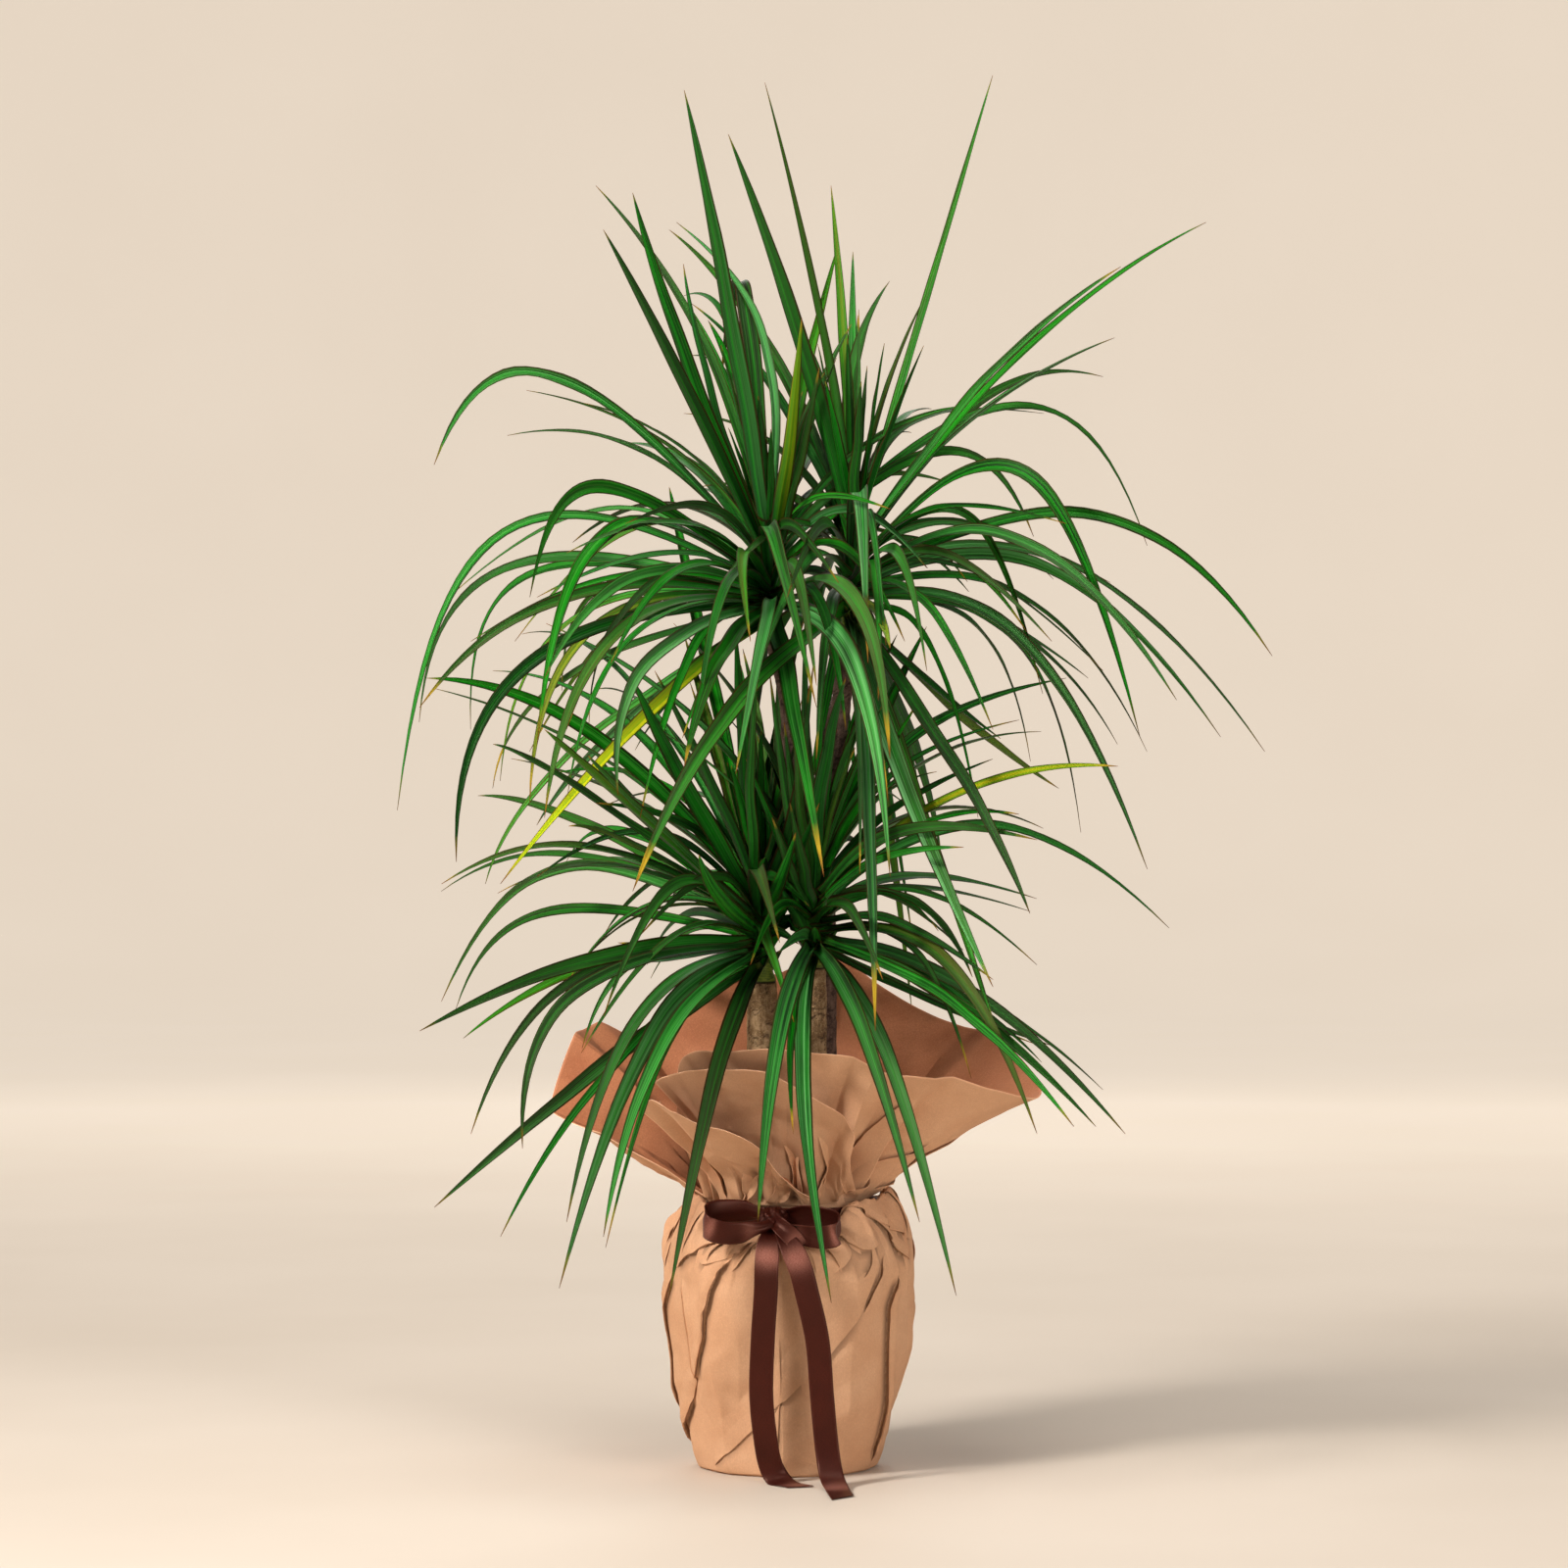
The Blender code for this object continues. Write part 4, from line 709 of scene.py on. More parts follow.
def paper_finish(name, colour, deep, flecks):
    """Kraft paper: fibres, a cloudy body and small flecks, with shade painted into its folds, and pale at its
    cut rim.
    """
    paper = Finish(name, 0.74, 0.22)
    clouds = paper.noise(paper.place(), 26.0, 3.0, 0.6)
    fibres = paper.noise(paper.place((1, 1, 0.5)), 1000.0, 3.0, 0.7)
    specks = paper.noise(paper.place(), 1700.0, 1.0)
    tone = paper.over(colour, deep, clouds, 0.35, 0.7)
    tone = paper.over(tone, tuple(0.62 * c for c in deep), fibres, 0.35, 0.7, flecks)
    tone = paper.over(tone, tuple(min(1, 1.4 * c) for c in colour), specks, 0.60, 0.70, flecks)
    # Painted shade: a dark brown laid where the mark says a fold, hollow or recess would be in shadow
    tone = paper.over(tone, tuple(0.30 * c for c in deep), paper.mark("crease"), 0.05, 1.0, 0.76)
    pale = tuple(min(1, 1.25 * c + 0.05) for c in colour)
    paper.colour(paper.over(tone, pale, paper.mark("rim"), 0.0, 1.0, 0.7))
    paper.bump(paper.plus(fibres, paper.times(clouds, 2.0)), 0.2, 0.0004)
    return paper.material


def satin_finish():
    """Chocolate satin with a fine weave across its length and a highlight painted where it bends."""
    satin = Finish("chocolate_satin", 0.36, 0.35, Specular_Tint=(1.0, 0.50, 0.38, 1))
    across, run, shine = (satin.mark(name) for name in ("across", "run", "shine"))
    weave = satin.noise(satin.vector(satin.times(run, 2200.0), satin.times(across, 7.0)), 1.0, 2.0)
    cloud = satin.noise(satin.place(), 60.0, 2.0)
    tone = satin.over((0.024, 0.0036, 0.0022), (0.052, 0.0085, 0.0052), weave, 0.3, 0.7)
    tone = satin.over(tone, (0.016, 0.0026, 0.0018), cloud, 0.35, 0.65, 0.4)
    # Painted highlight: a pale pinkish brown laid where the ribbon bends
    highlight_paint = satin.over((0.260, 0.085, 0.058), (0.480, 0.200, 0.150), weave, 0.3, 0.7)
    tone = satin.mix(satin.times(shine, satin.span(cloud, 0.3, 0.7, 0.6, 1.0)), tone, highlight_paint)
    edge = satin.maths("ABSOLUTE", across)
    satin.colour(satin.over(tone, (0.090, 0.022, 0.014), edge, 0.88, 0.96, 0.35))
    satin.bump(weave, 0.3, 0.0003)
    return satin.material


def soil_finish():
    """Dark crumbs with brown bark and white perlite among them."""
    soil = Finish("potting_mix", 0.95, 0.15)
    grain = soil.noise(soil.place(), 420.0, 5.0, 0.7)
    lumps = soil.noise(soil.place(), 110.0, 3.0)
    bits = soil.mark("bits")
    tone = soil.over((0.014, 0.009, 0.006), (0.085, 0.052, 0.030), grain, 0.35, 0.68)
    tone = soil.over(tone, (0.030, 0.019, 0.012), lumps, 0.4, 0.65, 0.5)
    tone = soil.over(tone, (0.150, 0.075, 0.036), bits, 0.15, 0.3, 0.8)
    soil.colour(soil.over(tone, (0.62, 0.60, 0.55), bits, 0.8, 0.9))
    soil.bump(grain, 0.8, 0.0015)
    return soil.material


def pot_finish():
    """Moulded black plastic, worn and a little dusty."""
    pot = Finish("pot_plastic", 0.48, 0.4)
    wear = pot.noise(pot.place(), 160.0, 4.0, 0.6)
    dust = pot.noise(pot.place((1, 1, 0.2)), 40.0, 3.0)
    tone = pot.over((0.012, 0.012, 0.012), (0.030, 0.029, 0.028), wear, 0.4, 0.7)
    pot.colour(pot.over(tone, (0.060, 0.050, 0.042), dust, 0.5, 0.75, 0.5))
    pot.feed(pot.shader.inputs["Roughness"], pot.span(wear, 0.3, 0.7, 0.38, 0.62))
    pot.bump(wear, 0.2, 0.0004)
    return pot.material


# Leaves: the rule that the model places them by

def seen(x, z, y):
    """The real place of a point at depth y that is seen at x, z from the front."""
    share = (EYE_DISTANCE + y) / EYE_DISTANCE
    return Vector((x * share, y, EYE_HEIGHT + (z - EYE_HEIGHT) * share))


def head_axis(crown, share):
    """A point on a head's axis, from 0 at its foot to 1 at its top."""
    (x, y, z), lean, height = HEADS[crown]
    return Vector((x + lean[0] * share, y + lean[1] * share, z + GAP + height * share))


def root_of(crown, toward):
    """Where a leaf leaves the head: young upright leaves near the top, drooping ones lower."""
    reach = toward - head_axis(crown, 0.5)
    flat = math.hypot(reach.x, reach.y)
    rise = math.degrees(math.atan2(reach.z, flat))
    share = 0.14 + 0.76 * min(max((rise + 40) / 125, 0), 1)
    outward = Vector((reach.x, reach.y, 0)).normalized()
    return head_axis(crown, share) + outward * ROOT_SUNK


class Leaf:
    """A blade along a smooth arc: root, the arc's pull point, tip, the arc's weight and the width."""

    def __init__(self, root, pull, tip, weight, width, roll, twist):
        self.root, self.pull, self.tip, self.weight = root, pull, tip, weight
        self.width, self.roll, self.twist = width, roll, twist
        self.gold, self.silver, self.dry = 0, 0, 0

    def at(self, t):
        parts = ((1 - t) ** 2, 2 * self.weight * t * (1 - t), t**2)
        return (self.root * parts[0] + self.pull * parts[1] + self.tip * parts[2]) / sum(parts)

    def along(self, t):
        step = 0.01
        return (self.at(min(t + step, 1)) - self.at(max(t - step, 0))).normalized()

    def frame(self, t):
        """Direction, side and upper face of the blade."""
        ahead = self.along(t)
        outward = Vector((self.tip.x - self.root.x, self.tip.y - self.root.y, 0)).normalized()
        turn = Quaternion(ahead, math.radians(self.roll + self.twist * t))
        side = turn @ Vector((-outward.y, outward.x, 0))
        side = (side - ahead * side.dot(ahead)).normalized()
        return ahead, side, ahead.cross(side)

    def breadth(self, t):
        """Half as wide at the root, widest at two fifths, drawn out to a point."""
        waist = 0.55 + 0.45 * math.sin(min(t / 0.42, 1) * math.pi / 2)
        return self.width * waist * (1 - t**2.6) ** 0.85 + 0.3


def front_turn(leaf):
    """Degrees that turn the middle of an untwisted blade to face the front."""
    ahead, side, _ = leaf.frame(0.5)
    flat = Vector((0, 1, 0)).cross(ahead).normalized()
    degrees = math.degrees(math.atan2(flat.dot(ahead.cross(side)), flat.dot(side)))
    if abs(degrees) > 90:
        degrees -= math.copysign(180, degrees)
    # A blade that lies across the view shows its upper side
    if abs(degrees) > 60 and degrees * (leaf.tip.x - leaf.root.x) < 0:
        degrees -= math.copysign(180, degrees)
    return degrees


def outline_leaf(crown, row, rng):
    """A function that gives the leaf for a shift in depth."""
    mid_x, mid_z, tip_x, tip_z, tip_y, width, weight = row
    spin = rng.uniform(-1, 1), rng.uniform(-1, 1)

    def at_depth(shift):
        tip = seen(tip_x, tip_z, tip_y + shift)
        axis = head_axis(crown, 0.5)
        across = tip.x - axis.x
        share = (mid_x - axis.x) / across if abs(across) > 30 else 0.55
        share = min(max(share, 0.35), 0.8)
        middle = seen(mid_x, mid_z, axis.y + share * (tip.y - axis.y))
        root = root_of(crown, middle)
        pull = (middle * (2 + 2 * weight) - root - tip) / (2 * weight)
        leaf = Leaf(root, pull, tip, weight, width, 0, 0)
        leaf.roll = FACE_FRONT * front_turn(leaf) + ROLL_SPREAD * spin[0]
        leaf.twist = ROLL_SPREAD * spin[1]
        return leaf

    return at_depth


def back_leaf(crown, number, count, longest, rng):
    """A function that gives the leaf for a turn about the head: young ones upright, old ones drooping."""
    age = (number + 0.5) / count
    turn = number * GOLDEN_ANGLE + rng.uniform(-0.3, 0.3)
    length = longest * (0.6 + 0.4 * math.sin(math.pi * age)) * rng.uniform(0.9, 1.08)
    start = math.radians(80 - 54 * age + rng.uniform(-6, 6))
    end = math.radians(62 - 130 * age + rng.uniform(-8, 8))
    width = rng.uniform(9, 12.5)
    spin = rng.uniform(-1, 1), rng.uniform(-1, 1)

    def turned_by(shift):
        # Directions are drawn into the half that faces away from the front
        angle = math.pi / 2 + 0.42 * math.remainder(turn + math.radians(shift) - math.pi / 2, TURN)
        outward, up = Vector((math.cos(angle), math.sin(angle), 0)), Vector((0, 0, 1))
        rising = outward * math.cos(start) + up * math.sin(start)
        root = root_of(crown, head_axis(crown, 0.5) + rising * 100)
        pull = root + rising * 0.5 * length
        tip = pull + (outward * math.cos(end) + up * math.sin(end)) * 0.55 * length
        return Leaf(root, pull, tip, 1, width, ROLL_SPREAD * spin[0], ROLL_SPREAD * spin[1])

    return turned_by


def shifts(step, count):
    """0, then steps to either side."""
    return [0] + [sign * step * k for k in range(1, count + 1) for sign in (1, -1)]


def as_modelled(choices, steps, solid):
    """The choice that the solid crown was made with, or None where it has no such leaf."""
    best, least = None, SAME_LEAF
    for shift in steps:
        leaf = choices(shift)
        apart = max(solid.find_nearest(leaf.at(t) * MM)[3] for t in (0.5, 2 / 3, 5 / 6, 1)) / MM
        if apart < least:
            best, least = leaf, apart
    return best


def solid_tree(name):
    """A solid of the model, ready to measure against."""
    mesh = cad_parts[name].data
    return BVHTree.FromPolygons([v.co for v in mesh.vertices], [p.vertices for p in mesh.polygons])


def read_leaves():
    """Every leaf of every head, where the solid crowns have it, with its tint."""
    rng = random.Random(SEED)
    taste = random.Random(LOOKS_SEED)
    placed = {crown: [] for crown in HEADS}
    solids = {crown: solid_tree(crown) for crown in HEADS}

    def settle(crown, choices, steps, tint):
        leaf = as_modelled(choices, steps, solids[crown])
        if leaf:
            leaf.gold, leaf.silver, leaf.dry = tint
            placed[crown].append(leaf)

    def plain_tint():
        gold = taste.random() ** 5 * 0.5
        return gold, taste.random() ** 3 * 0.4, taste.uniform(0.015, 0.06)

    for crown, rows in LEAVES.items():
        for number, row in enumerate(rows):
            own = plain_tint()
            settle(crown, outline_leaf(crown, row, rng), shifts(9, 14), TINTS[crown].get(number, own))
    for crown, (count, longest) in BACK_LEAVES.items():
        for number in range(count):
            settle(crown, back_leaf(crown, number, count, longest, rng), shifts(7, 12), plain_tint())
    return placed


def companion(leaf, taste):
    """A narrow leaf that grows beside another one and ends before it."""
    share = taste.uniform(0.55, 0.9)
    aside = Vector((taste.uniform(-20, 20), taste.uniform(-40, 40), taste.uniform(-16, 20)))
    tip = leaf.root.lerp(leaf.tip, share) + aside
    pull = leaf.root.lerp(leaf.pull, share) + aside * 0.45
    roll = leaf.roll + taste.uniform(-25, 25)
    return Leaf(leaf.root.copy(), pull, tip, leaf.weight, taste.uniform(4.5, 8), roll, taste.uniform(-30, 30))


def sprout(crown, share, turn, rise, length, width, taste):
    """A short straight leaf that leaves the head at a share of its height."""
    outward = Vector((math.cos(turn), math.sin(turn), 0))
    heading = outward * math.cos(rise) + Vector((0, 0, 1)) * math.sin(rise)
    root = head_axis(crown, share) + outward * ROOT_SUNK
    pull = root + heading * 0.5 * length + Vector((0, 0, 0.06 * length))
    return Leaf(root, pull, root + heading * length, 1, width, taste.uniform(-15, 15), taste.uniform(-20, 20))


def extra_leaves(crown, leaves, taste, paper):
    """The leaves that only show here, with their stations: narrow ones, young ones and sheaths."""
    more = []

    def clear(leaf):
        """Whether the outer two thirds of a leaf keep away from the paper."""
        places = [leaf.at(k / 24) * MM for k in range(8, 25)]
        return min(tree.find_nearest(place)[3] for place in places for tree in paper) > PAPER_CLEARANCE * MM

    def add(leaf, dry, silver, gold, stations=BLADE_ALONG):
        leaf.dry, leaf.silver, leaf.gold = dry, silver, gold
        more.append((leaf, stations))

    for row in INNER_LEAVES[crown]:
        leaf = outline_leaf(crown, row, taste)(0)
        if clear(leaf):
            add(leaf, taste.uniform(0.02, 0.08), 0.4 * taste.random() ** 3, 0.4 * taste.random() ** 5)
    for leaf in taste.sample(leaves, min(COMPANIONS, len(leaves))):
        for _ in range(5):
            narrow = companion(leaf, taste)
            if clear(narrow):
                add(narrow, taste.uniform(0.02, 0.12), 0.6 * taste.random() ** 3, 0.5 * taste.random() ** 5)
                break
    for count, foot, reach, rises, lengths_of, widths, dry, gold, stations in (YOUNG, SHEATHS):
        for k in range(count):
            rise = math.radians(taste.uniform(*rises))
            length, width = taste.uniform(*lengths_of), taste.uniform(*widths)
            made = sprout(crown, foot + reach * k / count, k * GOLDEN_ANGLE, rise, length, width, taste)
            add(made, dry, 0, gold * taste.random(), stations)
    return more


def blade_mesh(leaf, taste, stations):
    """One fine blade: clasping at its root, channelled along its keel, thin at its margins."""
    steps = np.linspace(0, 1, stations) ** 1.15
    u = np.linspace(-1, 1, BLADE_ACROSS + 1)
    sway, beat, start = taste.uniform(-1.2, 1.2), taste.uniform(1.2, 2.6), taste.uniform(0, TURN)
    ripple = taste.uniform(0.15, 0.45)
    upper, lower, runs = [], [], []
    before, run = leaf.at(0), 0
    for t in steps:
        place = leaf.at(t)
        run += (place - before).length
        before = place
        _, side, up = leaf.frame(t)
        swing = sway * math.sin(TURN * beat * t + start) * math.sin(math.pi * min(t * 1.4, 1))
        place = place + side * swing
        clasp = math.exp(-(run / 13) ** 2)
        half = leaf.breadth(t) / 2 + 4.2 * clasp
        curl = 0.22 + 1.15 * clasp + 0.5 * math.exp(-run / 40) + 0.25 * t * t
        keel = 0.24 + 0.30 * math.exp(-run / 60)
        x = half * np.sin(u * curl) / curl
        lift = half * ((1 - np.cos(u * curl)) / curl + keel * (np.abs(u) - 0.35))
        lift += ripple * np.sin(TURN * (beat + 2) * t + start + 1.3 * u) * np.abs(u) * math.sin(math.pi * t)
        thick = MARGIN_THICKNESS + (MIDRIB_THICKNESS - MARGIN_THICKNESS) * (1 - u * u)
        thick = thick * (1 - 0.6 * t**4)
        rib = 0.35 * bell(u, 0.12) * (1 - t)
        row = np.array(place) + np.outer(x, side) + np.outer(lift, up)
        upper.append(row + np.outer(thick / 2, up))
        lower.append(row - np.outer(thick / 2 + rib, up))
        runs.append(run)
    points, faces, marks = thin_sheet(
        np.stack(upper), np.stack(lower), across=u, along=steps[:, None], run=np.array(runs)[:, None] * MM,
        own=taste.random(), gold=leaf.gold, silver=leaf.silver, dry=leaf.dry,
    )
    marks["under"] = np.repeat([0.0, 1.0], len(points) // 2)
    return points, faces, marks


def head_mesh(crown):
    """The young stem under the leaves, with the rings that lost leaves left."""
    sides, rows = 28, 40
    foot, top = HEAD_RADII
    wide = CANE_TOPS[crown] - 0.4
    points, groove = [], []
    for i in range(rows):
        share = i / (rows - 1)
        centre = head_axis(crown, share)
        radius = foot + (top - foot) * share + (wide - foot) * math.exp(-(share / 0.10) ** 2)
        ring = abs(math.sin(math.pi * share * HEAD_RINGS)) ** 0.35
        for k in range(sides):
            a = TURN * k / sides
            r = radius - 0.35 * (1 - ring) + 0.15 * math.sin(3 * a + 9 * share)
            points.append((centre.x + r * math.cos(a), centre.y + r * math.sin(a), centre.z))
            groove.append(1 - ring)
    return points, tube_faces(rows, sides), {"groove": groove}


def build_crowns():
    """Each crown: its head, the leaves of the model and the finer ones between them."""
    blade, stem = leaf_finish(), stem_finish()
    taste = random.Random(LOOKS_SEED + 1)
    paper = [solid_tree(name) for name in ("paper_wrap", "paper_flap_upper", "paper_flap_lower")]
    for crown, leaves in read_leaves().items():
        head = head_mesh(crown)
        every = [(leaf, BLADE_ALONG) for leaf in leaves] + extra_leaves(crown, leaves, taste, paper)
        foliage = joined([head] + [blade_mesh(leaf, taste, stations) for leaf, stations in every])
        looks = [1] * len(head[1]) + [0] * (len(foliage[1]) - len(head[1]))
        piece(crown.replace("crown", "foliage"), foliage, [blade, stem], [crown], looks)


# Canes

def bark_relief(x, y, z, turn, rings):
    """How deep the bark is cut at one place, from 0 to 1."""
    bent = noise.noise_vector(Vector((x * 0.13, y * 0.13, z * 0.13))) * 4.2
    x, y, z = x + bent.x, y + bent.y, z + bent.z
    nearest = min(abs(z - ring - tilt * math.sin(turn + way)) for ring, tilt, way in rings)
    broken = 0.5 + 0.5 * noise.noise(Vector((x * 0.15 + 9, y * 0.15, z * 0.25)))
    scar = math.exp(-(nearest / 0.55) ** 2) * smooth_step(0.38, 0.62, broken)
    apart, _ = noise.voronoi(Vector((x * 0.21, y * 0.21, z * 0.30)))
    crack = math.exp(-((apart[1] - apart[0]) / 0.07) ** 2)
    fade = smooth_step(0.42, 0.68, 0.5 + 0.5 * noise.noise(Vector((x * 0.11, y * 0.11, z * 0.09))))
    return min(1, 0.9 * scar + 0.75 * crack * fade)


def cane_mesh(path, sides, step, rng, depth):
    """A bark-covered tube along (x, y, z, radius), and how deep its grooves are."""
    low, high = path[0][2], path[-1][2]
    rows = max(int((high - low) / step), 2)
    heights = np.linspace(low, high, rows)
    lines = between([(z, x, y, r) for x, y, z, r in path], heights)
    rings, z = [], low
    while z < high:
        rings.append((z, rng.uniform(0.8, 3.4), rng.uniform(0, TURN)))
        z += rng.uniform(3.2, 7)
    points, groove = [], []
    for (x, y, radius), z in zip(lines, heights):
        near = [ring for ring in rings if abs(ring[0] - z) < 14] or [(1e6, 0, 0)]
        for k in range(sides):
            a = TURN * k / sides
            cut = bark_relief(x + radius * math.cos(a), y + radius * math.sin(a), z, a, near)
            swell = 0.5 * noise.noise(Vector((math.cos(a) * 1.3, math.sin(a) * 1.3, z * 0.08)))
            r = radius + swell - depth * cut
            points.append((x + r * math.cos(a), y + r * math.sin(a), z))
            groove.append(cut)
    return points, tube_faces(rows, sides), {"groove": groove}


def build_canes():
    """Pale bark on the two short canes, and dark bark on the tall one with its fork."""
    rng = random.Random(LOOKS_SEED + 2)
    # Without a seed, the noise that bends the bark would follow the clock
    noise.seed_set(LOOKS_SEED)
    pale = bark_finish("bark_pale", (0.034, 0.018, 0.010), (0.200, 0.115, 0.052), (0.470, 0.310, 0.160))
    dark = bark_finish("bark_dark", (0.014, 0.008, 0.006), (0.070, 0.040, 0.029), (0.170, 0.106, 0.076))
    for name, path in (("cane_short_left", SHORT_LEFT), ("cane_short_right", SHORT_RIGHT)):
        piece(name + "_bark", cane_mesh(path, 68, 1.1, rng, 0.8), [pale], [name])
    limbs = ((TALL_TRUNK, 56), (TALL_LEFT, 40), (TALL_RIGHT, 40))
    tall = joined([cane_mesh(path, sides, 1.3, rng, 0.6) for path, sides in limbs])
    piece("cane_tall_bark", tall, [dark], ["cane_tall"])


# Pot and soil

def build_pot():
    """A plastic pot with a rolled rim, turned from its outline, and four drain holes."""
    inside, floor = POT_TOP_RADIUS - POT_RIM - POT_WALL, POT_FOOT + POT_WALL
    outline = [
        (DRAIN_RADIUS, POT_FOOT), (POT_BASE_RADIUS - 2, POT_FOOT), (POT_BASE_RADIUS, POT_FOOT + 2),
        (POT_TOP_RADIUS - POT_RIM, POT_HEIGHT - 12), (POT_TOP_RADIUS - 0.6, POT_HEIGHT - 12),
        (POT_TOP_RADIUS, POT_HEIGHT - 11), (POT_TOP_RADIUS, POT_HEIGHT - 0.8),
        (POT_TOP_RADIUS - 0.8, POT_HEIGHT), (inside + 0.8, POT_HEIGHT), (inside, POT_HEIGHT - 0.8),
        (POT_BASE_RADIUS - POT_WALL, floor), (DRAIN_RADIUS, floor),
    ]
    sides, count = 96, len(outline)
    turns = TURN * np.arange(sides) / sides
    points = [(r * math.cos(a), r * math.sin(a), z) for a in turns for r, z in outline]
    faces = []
    for k in range(sides):
        here, there = k * count, (k + 1) % sides * count
        for i in range(count):
            n = (i + 1) % count
            faces.append((here + i, there + i, there + n, here + n))
    pot = piece("pot_shell", (points, faces, {}), [pot_finish()], ["nursery_pot"])
    shape = bmesh.new()
    shape.from_mesh(pot.data)
    bmesh.ops.recalc_face_normals(shape, faces=shape.faces)
    shape.to_mesh(pot.data)
    shape.free()
    pot.data.shade_smooth()
    pot.data.set_sharp_from_angle(angle=math.radians(POT_CRISP_ANGLE))
    drills = []
    for k in range(4):
        a = math.radians(45 + 90 * k)
        shape = bmesh.new()
        bmesh.ops.create_cone(shape, cap_ends=True, segments=24, radius1=DRAIN_RADIUS * MM,
                              radius2=DRAIN_RADIUS * MM, depth=10 * MM)
        mesh = bpy.data.meshes.new("drill")
        shape.to_mesh(mesh)
        shape.free()
        drill = linked("drill", mesh)
        drill.location = Vector((DRAIN_RING * math.cos(a), DRAIN_RING * math.sin(a), POT_FOOT)) * MM
        cut = pot.modifiers.new("drain", "BOOLEAN")
        cut.operation = "DIFFERENCE"
        cut.object = drill
        drills.append(drill)
    bpy.context.view_layer.update()
    shaped = bpy.data.meshes.new_from_object(pot.evaluated_get(bpy.context.evaluated_depsgraph_get()))
    pot.modifiers.clear()
    pot.data = shaped
    for drill in drills:
        bpy.data.objects.remove(drill)


def pot_inside(height):
    """Radius of the pot's inner face at a height."""
    share = (height - POT_FOOT - POT_WALL) / (POT_HEIGHT - POT_FOOT - POT_WALL)
    low, high = POT_BASE_RADIUS - POT_WALL, POT_TOP_RADIUS - POT_RIM - POT_WALL
    return low + share * (high - low)


def build_soil():
    """Crumbly soil, domed a little, with a plain hole for each cane and bits of bark and perlite."""
    rng = random.Random(LOOKS_SEED + 3)
    sides, rows = 96, 40
    floor = POT_FOOT + POT_WALL + GAP
    holes = [(path[0][0], path[0][1], path[0][3] + 0.4) for path in (SHORT_LEFT, SHORT_RIGHT, TALL_TRUNK)]

    def surface(x, y):
        far = math.hypot(x, y) / pot_inside(SOIL_TOP)
        waves = 1.3 * noise.noise(Vector((x * 0.09, y * 0.09, 3)))
        waves += 0.7 * noise.noise(Vector((x * 0.35, y * 0.35, 8)))
        return SOIL_TOP + SOIL_CROWN * (1 - far**2) - 1.2 + waves

    def ring(radius):
        turns = [TURN * k / sides for k in range(sides)]
        return [(radius * math.cos(a), radius * math.sin(a)) for a in turns]

    points = [(x, y, floor) for x, y in ring(pot_inside(floor) - 0.8)]
    for i in range(rows):
        for x, y in ring((pot_inside(SOIL_TOP - 3) - 0.8) * (1 - i / rows)):
            sunk = any(math.hypot(x - cx, y - cy) < wide for cx, cy, wide in holes)
            points.append((x, y, CANE_FOOT - 1 if sunk else surface(x, y)))
    points.append((0, 0, surface(0, 0)))
    faces = grid_faces(rows + 1, sides, ring=True) + [list(range(sides))[::-1]]
    top, last = len(points) - 1, rows * sides
    faces += [(last + k, last + (k + 1) % sides, top) for k in range(sides)]
    bits = [0.0] * len(points)
    ball = bmesh.new()
    bmesh.ops.create_icosphere(ball, subdivisions=1, radius=1)
    shape = [v.co.copy() for v in ball.verts]
    pattern = [[v.index for v in f.verts] for f in ball.faces]
    ball.free()
    for _ in range(SOIL_BITS):
        far, a = 66 * math.sqrt(rng.random()), rng.uniform(0, TURN)
        x, y = far * math.cos(a), far * math.sin(a)
        if any(math.hypot(x - cx, y - cy) < wide + 3.5 for cx, cy, wide in holes):
            continue
        kind = rng.random()
        if kind > 0.86:
            size, flat, bit = rng.uniform(0.8, 1.6), 1.0, 1.0
        else:
            size, flat, bit = rng.uniform(0.9, 3.0), 0.5, 0.5 if kind > 0.45 else 0.1
        axis = Vector([rng.uniform(-1, 1) for _ in range(3)])
        turn = Quaternion(axis, rng.uniform(0, TURN))
        faces += [[i + len(points) for i in face] for face in pattern]
        for co in shape:
            lump = turn @ Vector((co.x * size, co.y * size * rng.uniform(0.7, 1), co.z * size * flat))
            points.append((x + lump.x, y + lump.y, surface(x, y) + 0.4 * size + lump.z))
            bits.append(bit)
    piece("soil_surface", (points, faces, {"bits": bits}), [soil_finish()], ["potting_soil"])


# Paper

def folds_phase(a, count, seed):
    """How far along the folds a direction is: whole numbers are fold edges, unevenly spaced."""
    uneven = 0.42 * np.sin(3 * a + seed) + 0.30 * np.sin(5 * a + 2 * seed) + 0.16 * np.sin(11 * a + 3 * seed)
    return count * a / TURN + uneven


def degrees_from(turn, degrees):
    """Degrees from one direction to others, from -180 to 180."""
    return (degrees - turn + 180) % 360 - 180


def gathers(a):
    """How high each of the flattened tucks round the neck stands."""
    phase = folds_phase(a, 16, 1.3)
    number = np.floor(phase)
    part, crest = phase - number, 0.86
    height = np.where(part < crest, (part / crest) ** 1.4, (1 - part) / 0.14)
    strength = 0.55 + 0.45 * np.sin(number * 2.4 + 1.0) * np.sin(number * 1.1)
    return (height - 0.35) * strength


def creased(phase):
    """Flat panels that meet in creases, from -1 to 1."""
    part = phase - np.floor(phase)
    return 4 * np.abs(part - 0.5) - 1


def rolled_out(degrees, first):
    """How far round the body directions are from a first one, in millimetres."""
    return np.radians(degrees_from(first, degrees)) * ROUND_SIZE


def tapered(run, total):
    """1 along a fold, and down to 0 at both its ends."""
    ends = min(12, total / 3)
    return smooth_step(0, ends, run) * smooth_step(0, ends, total - run)


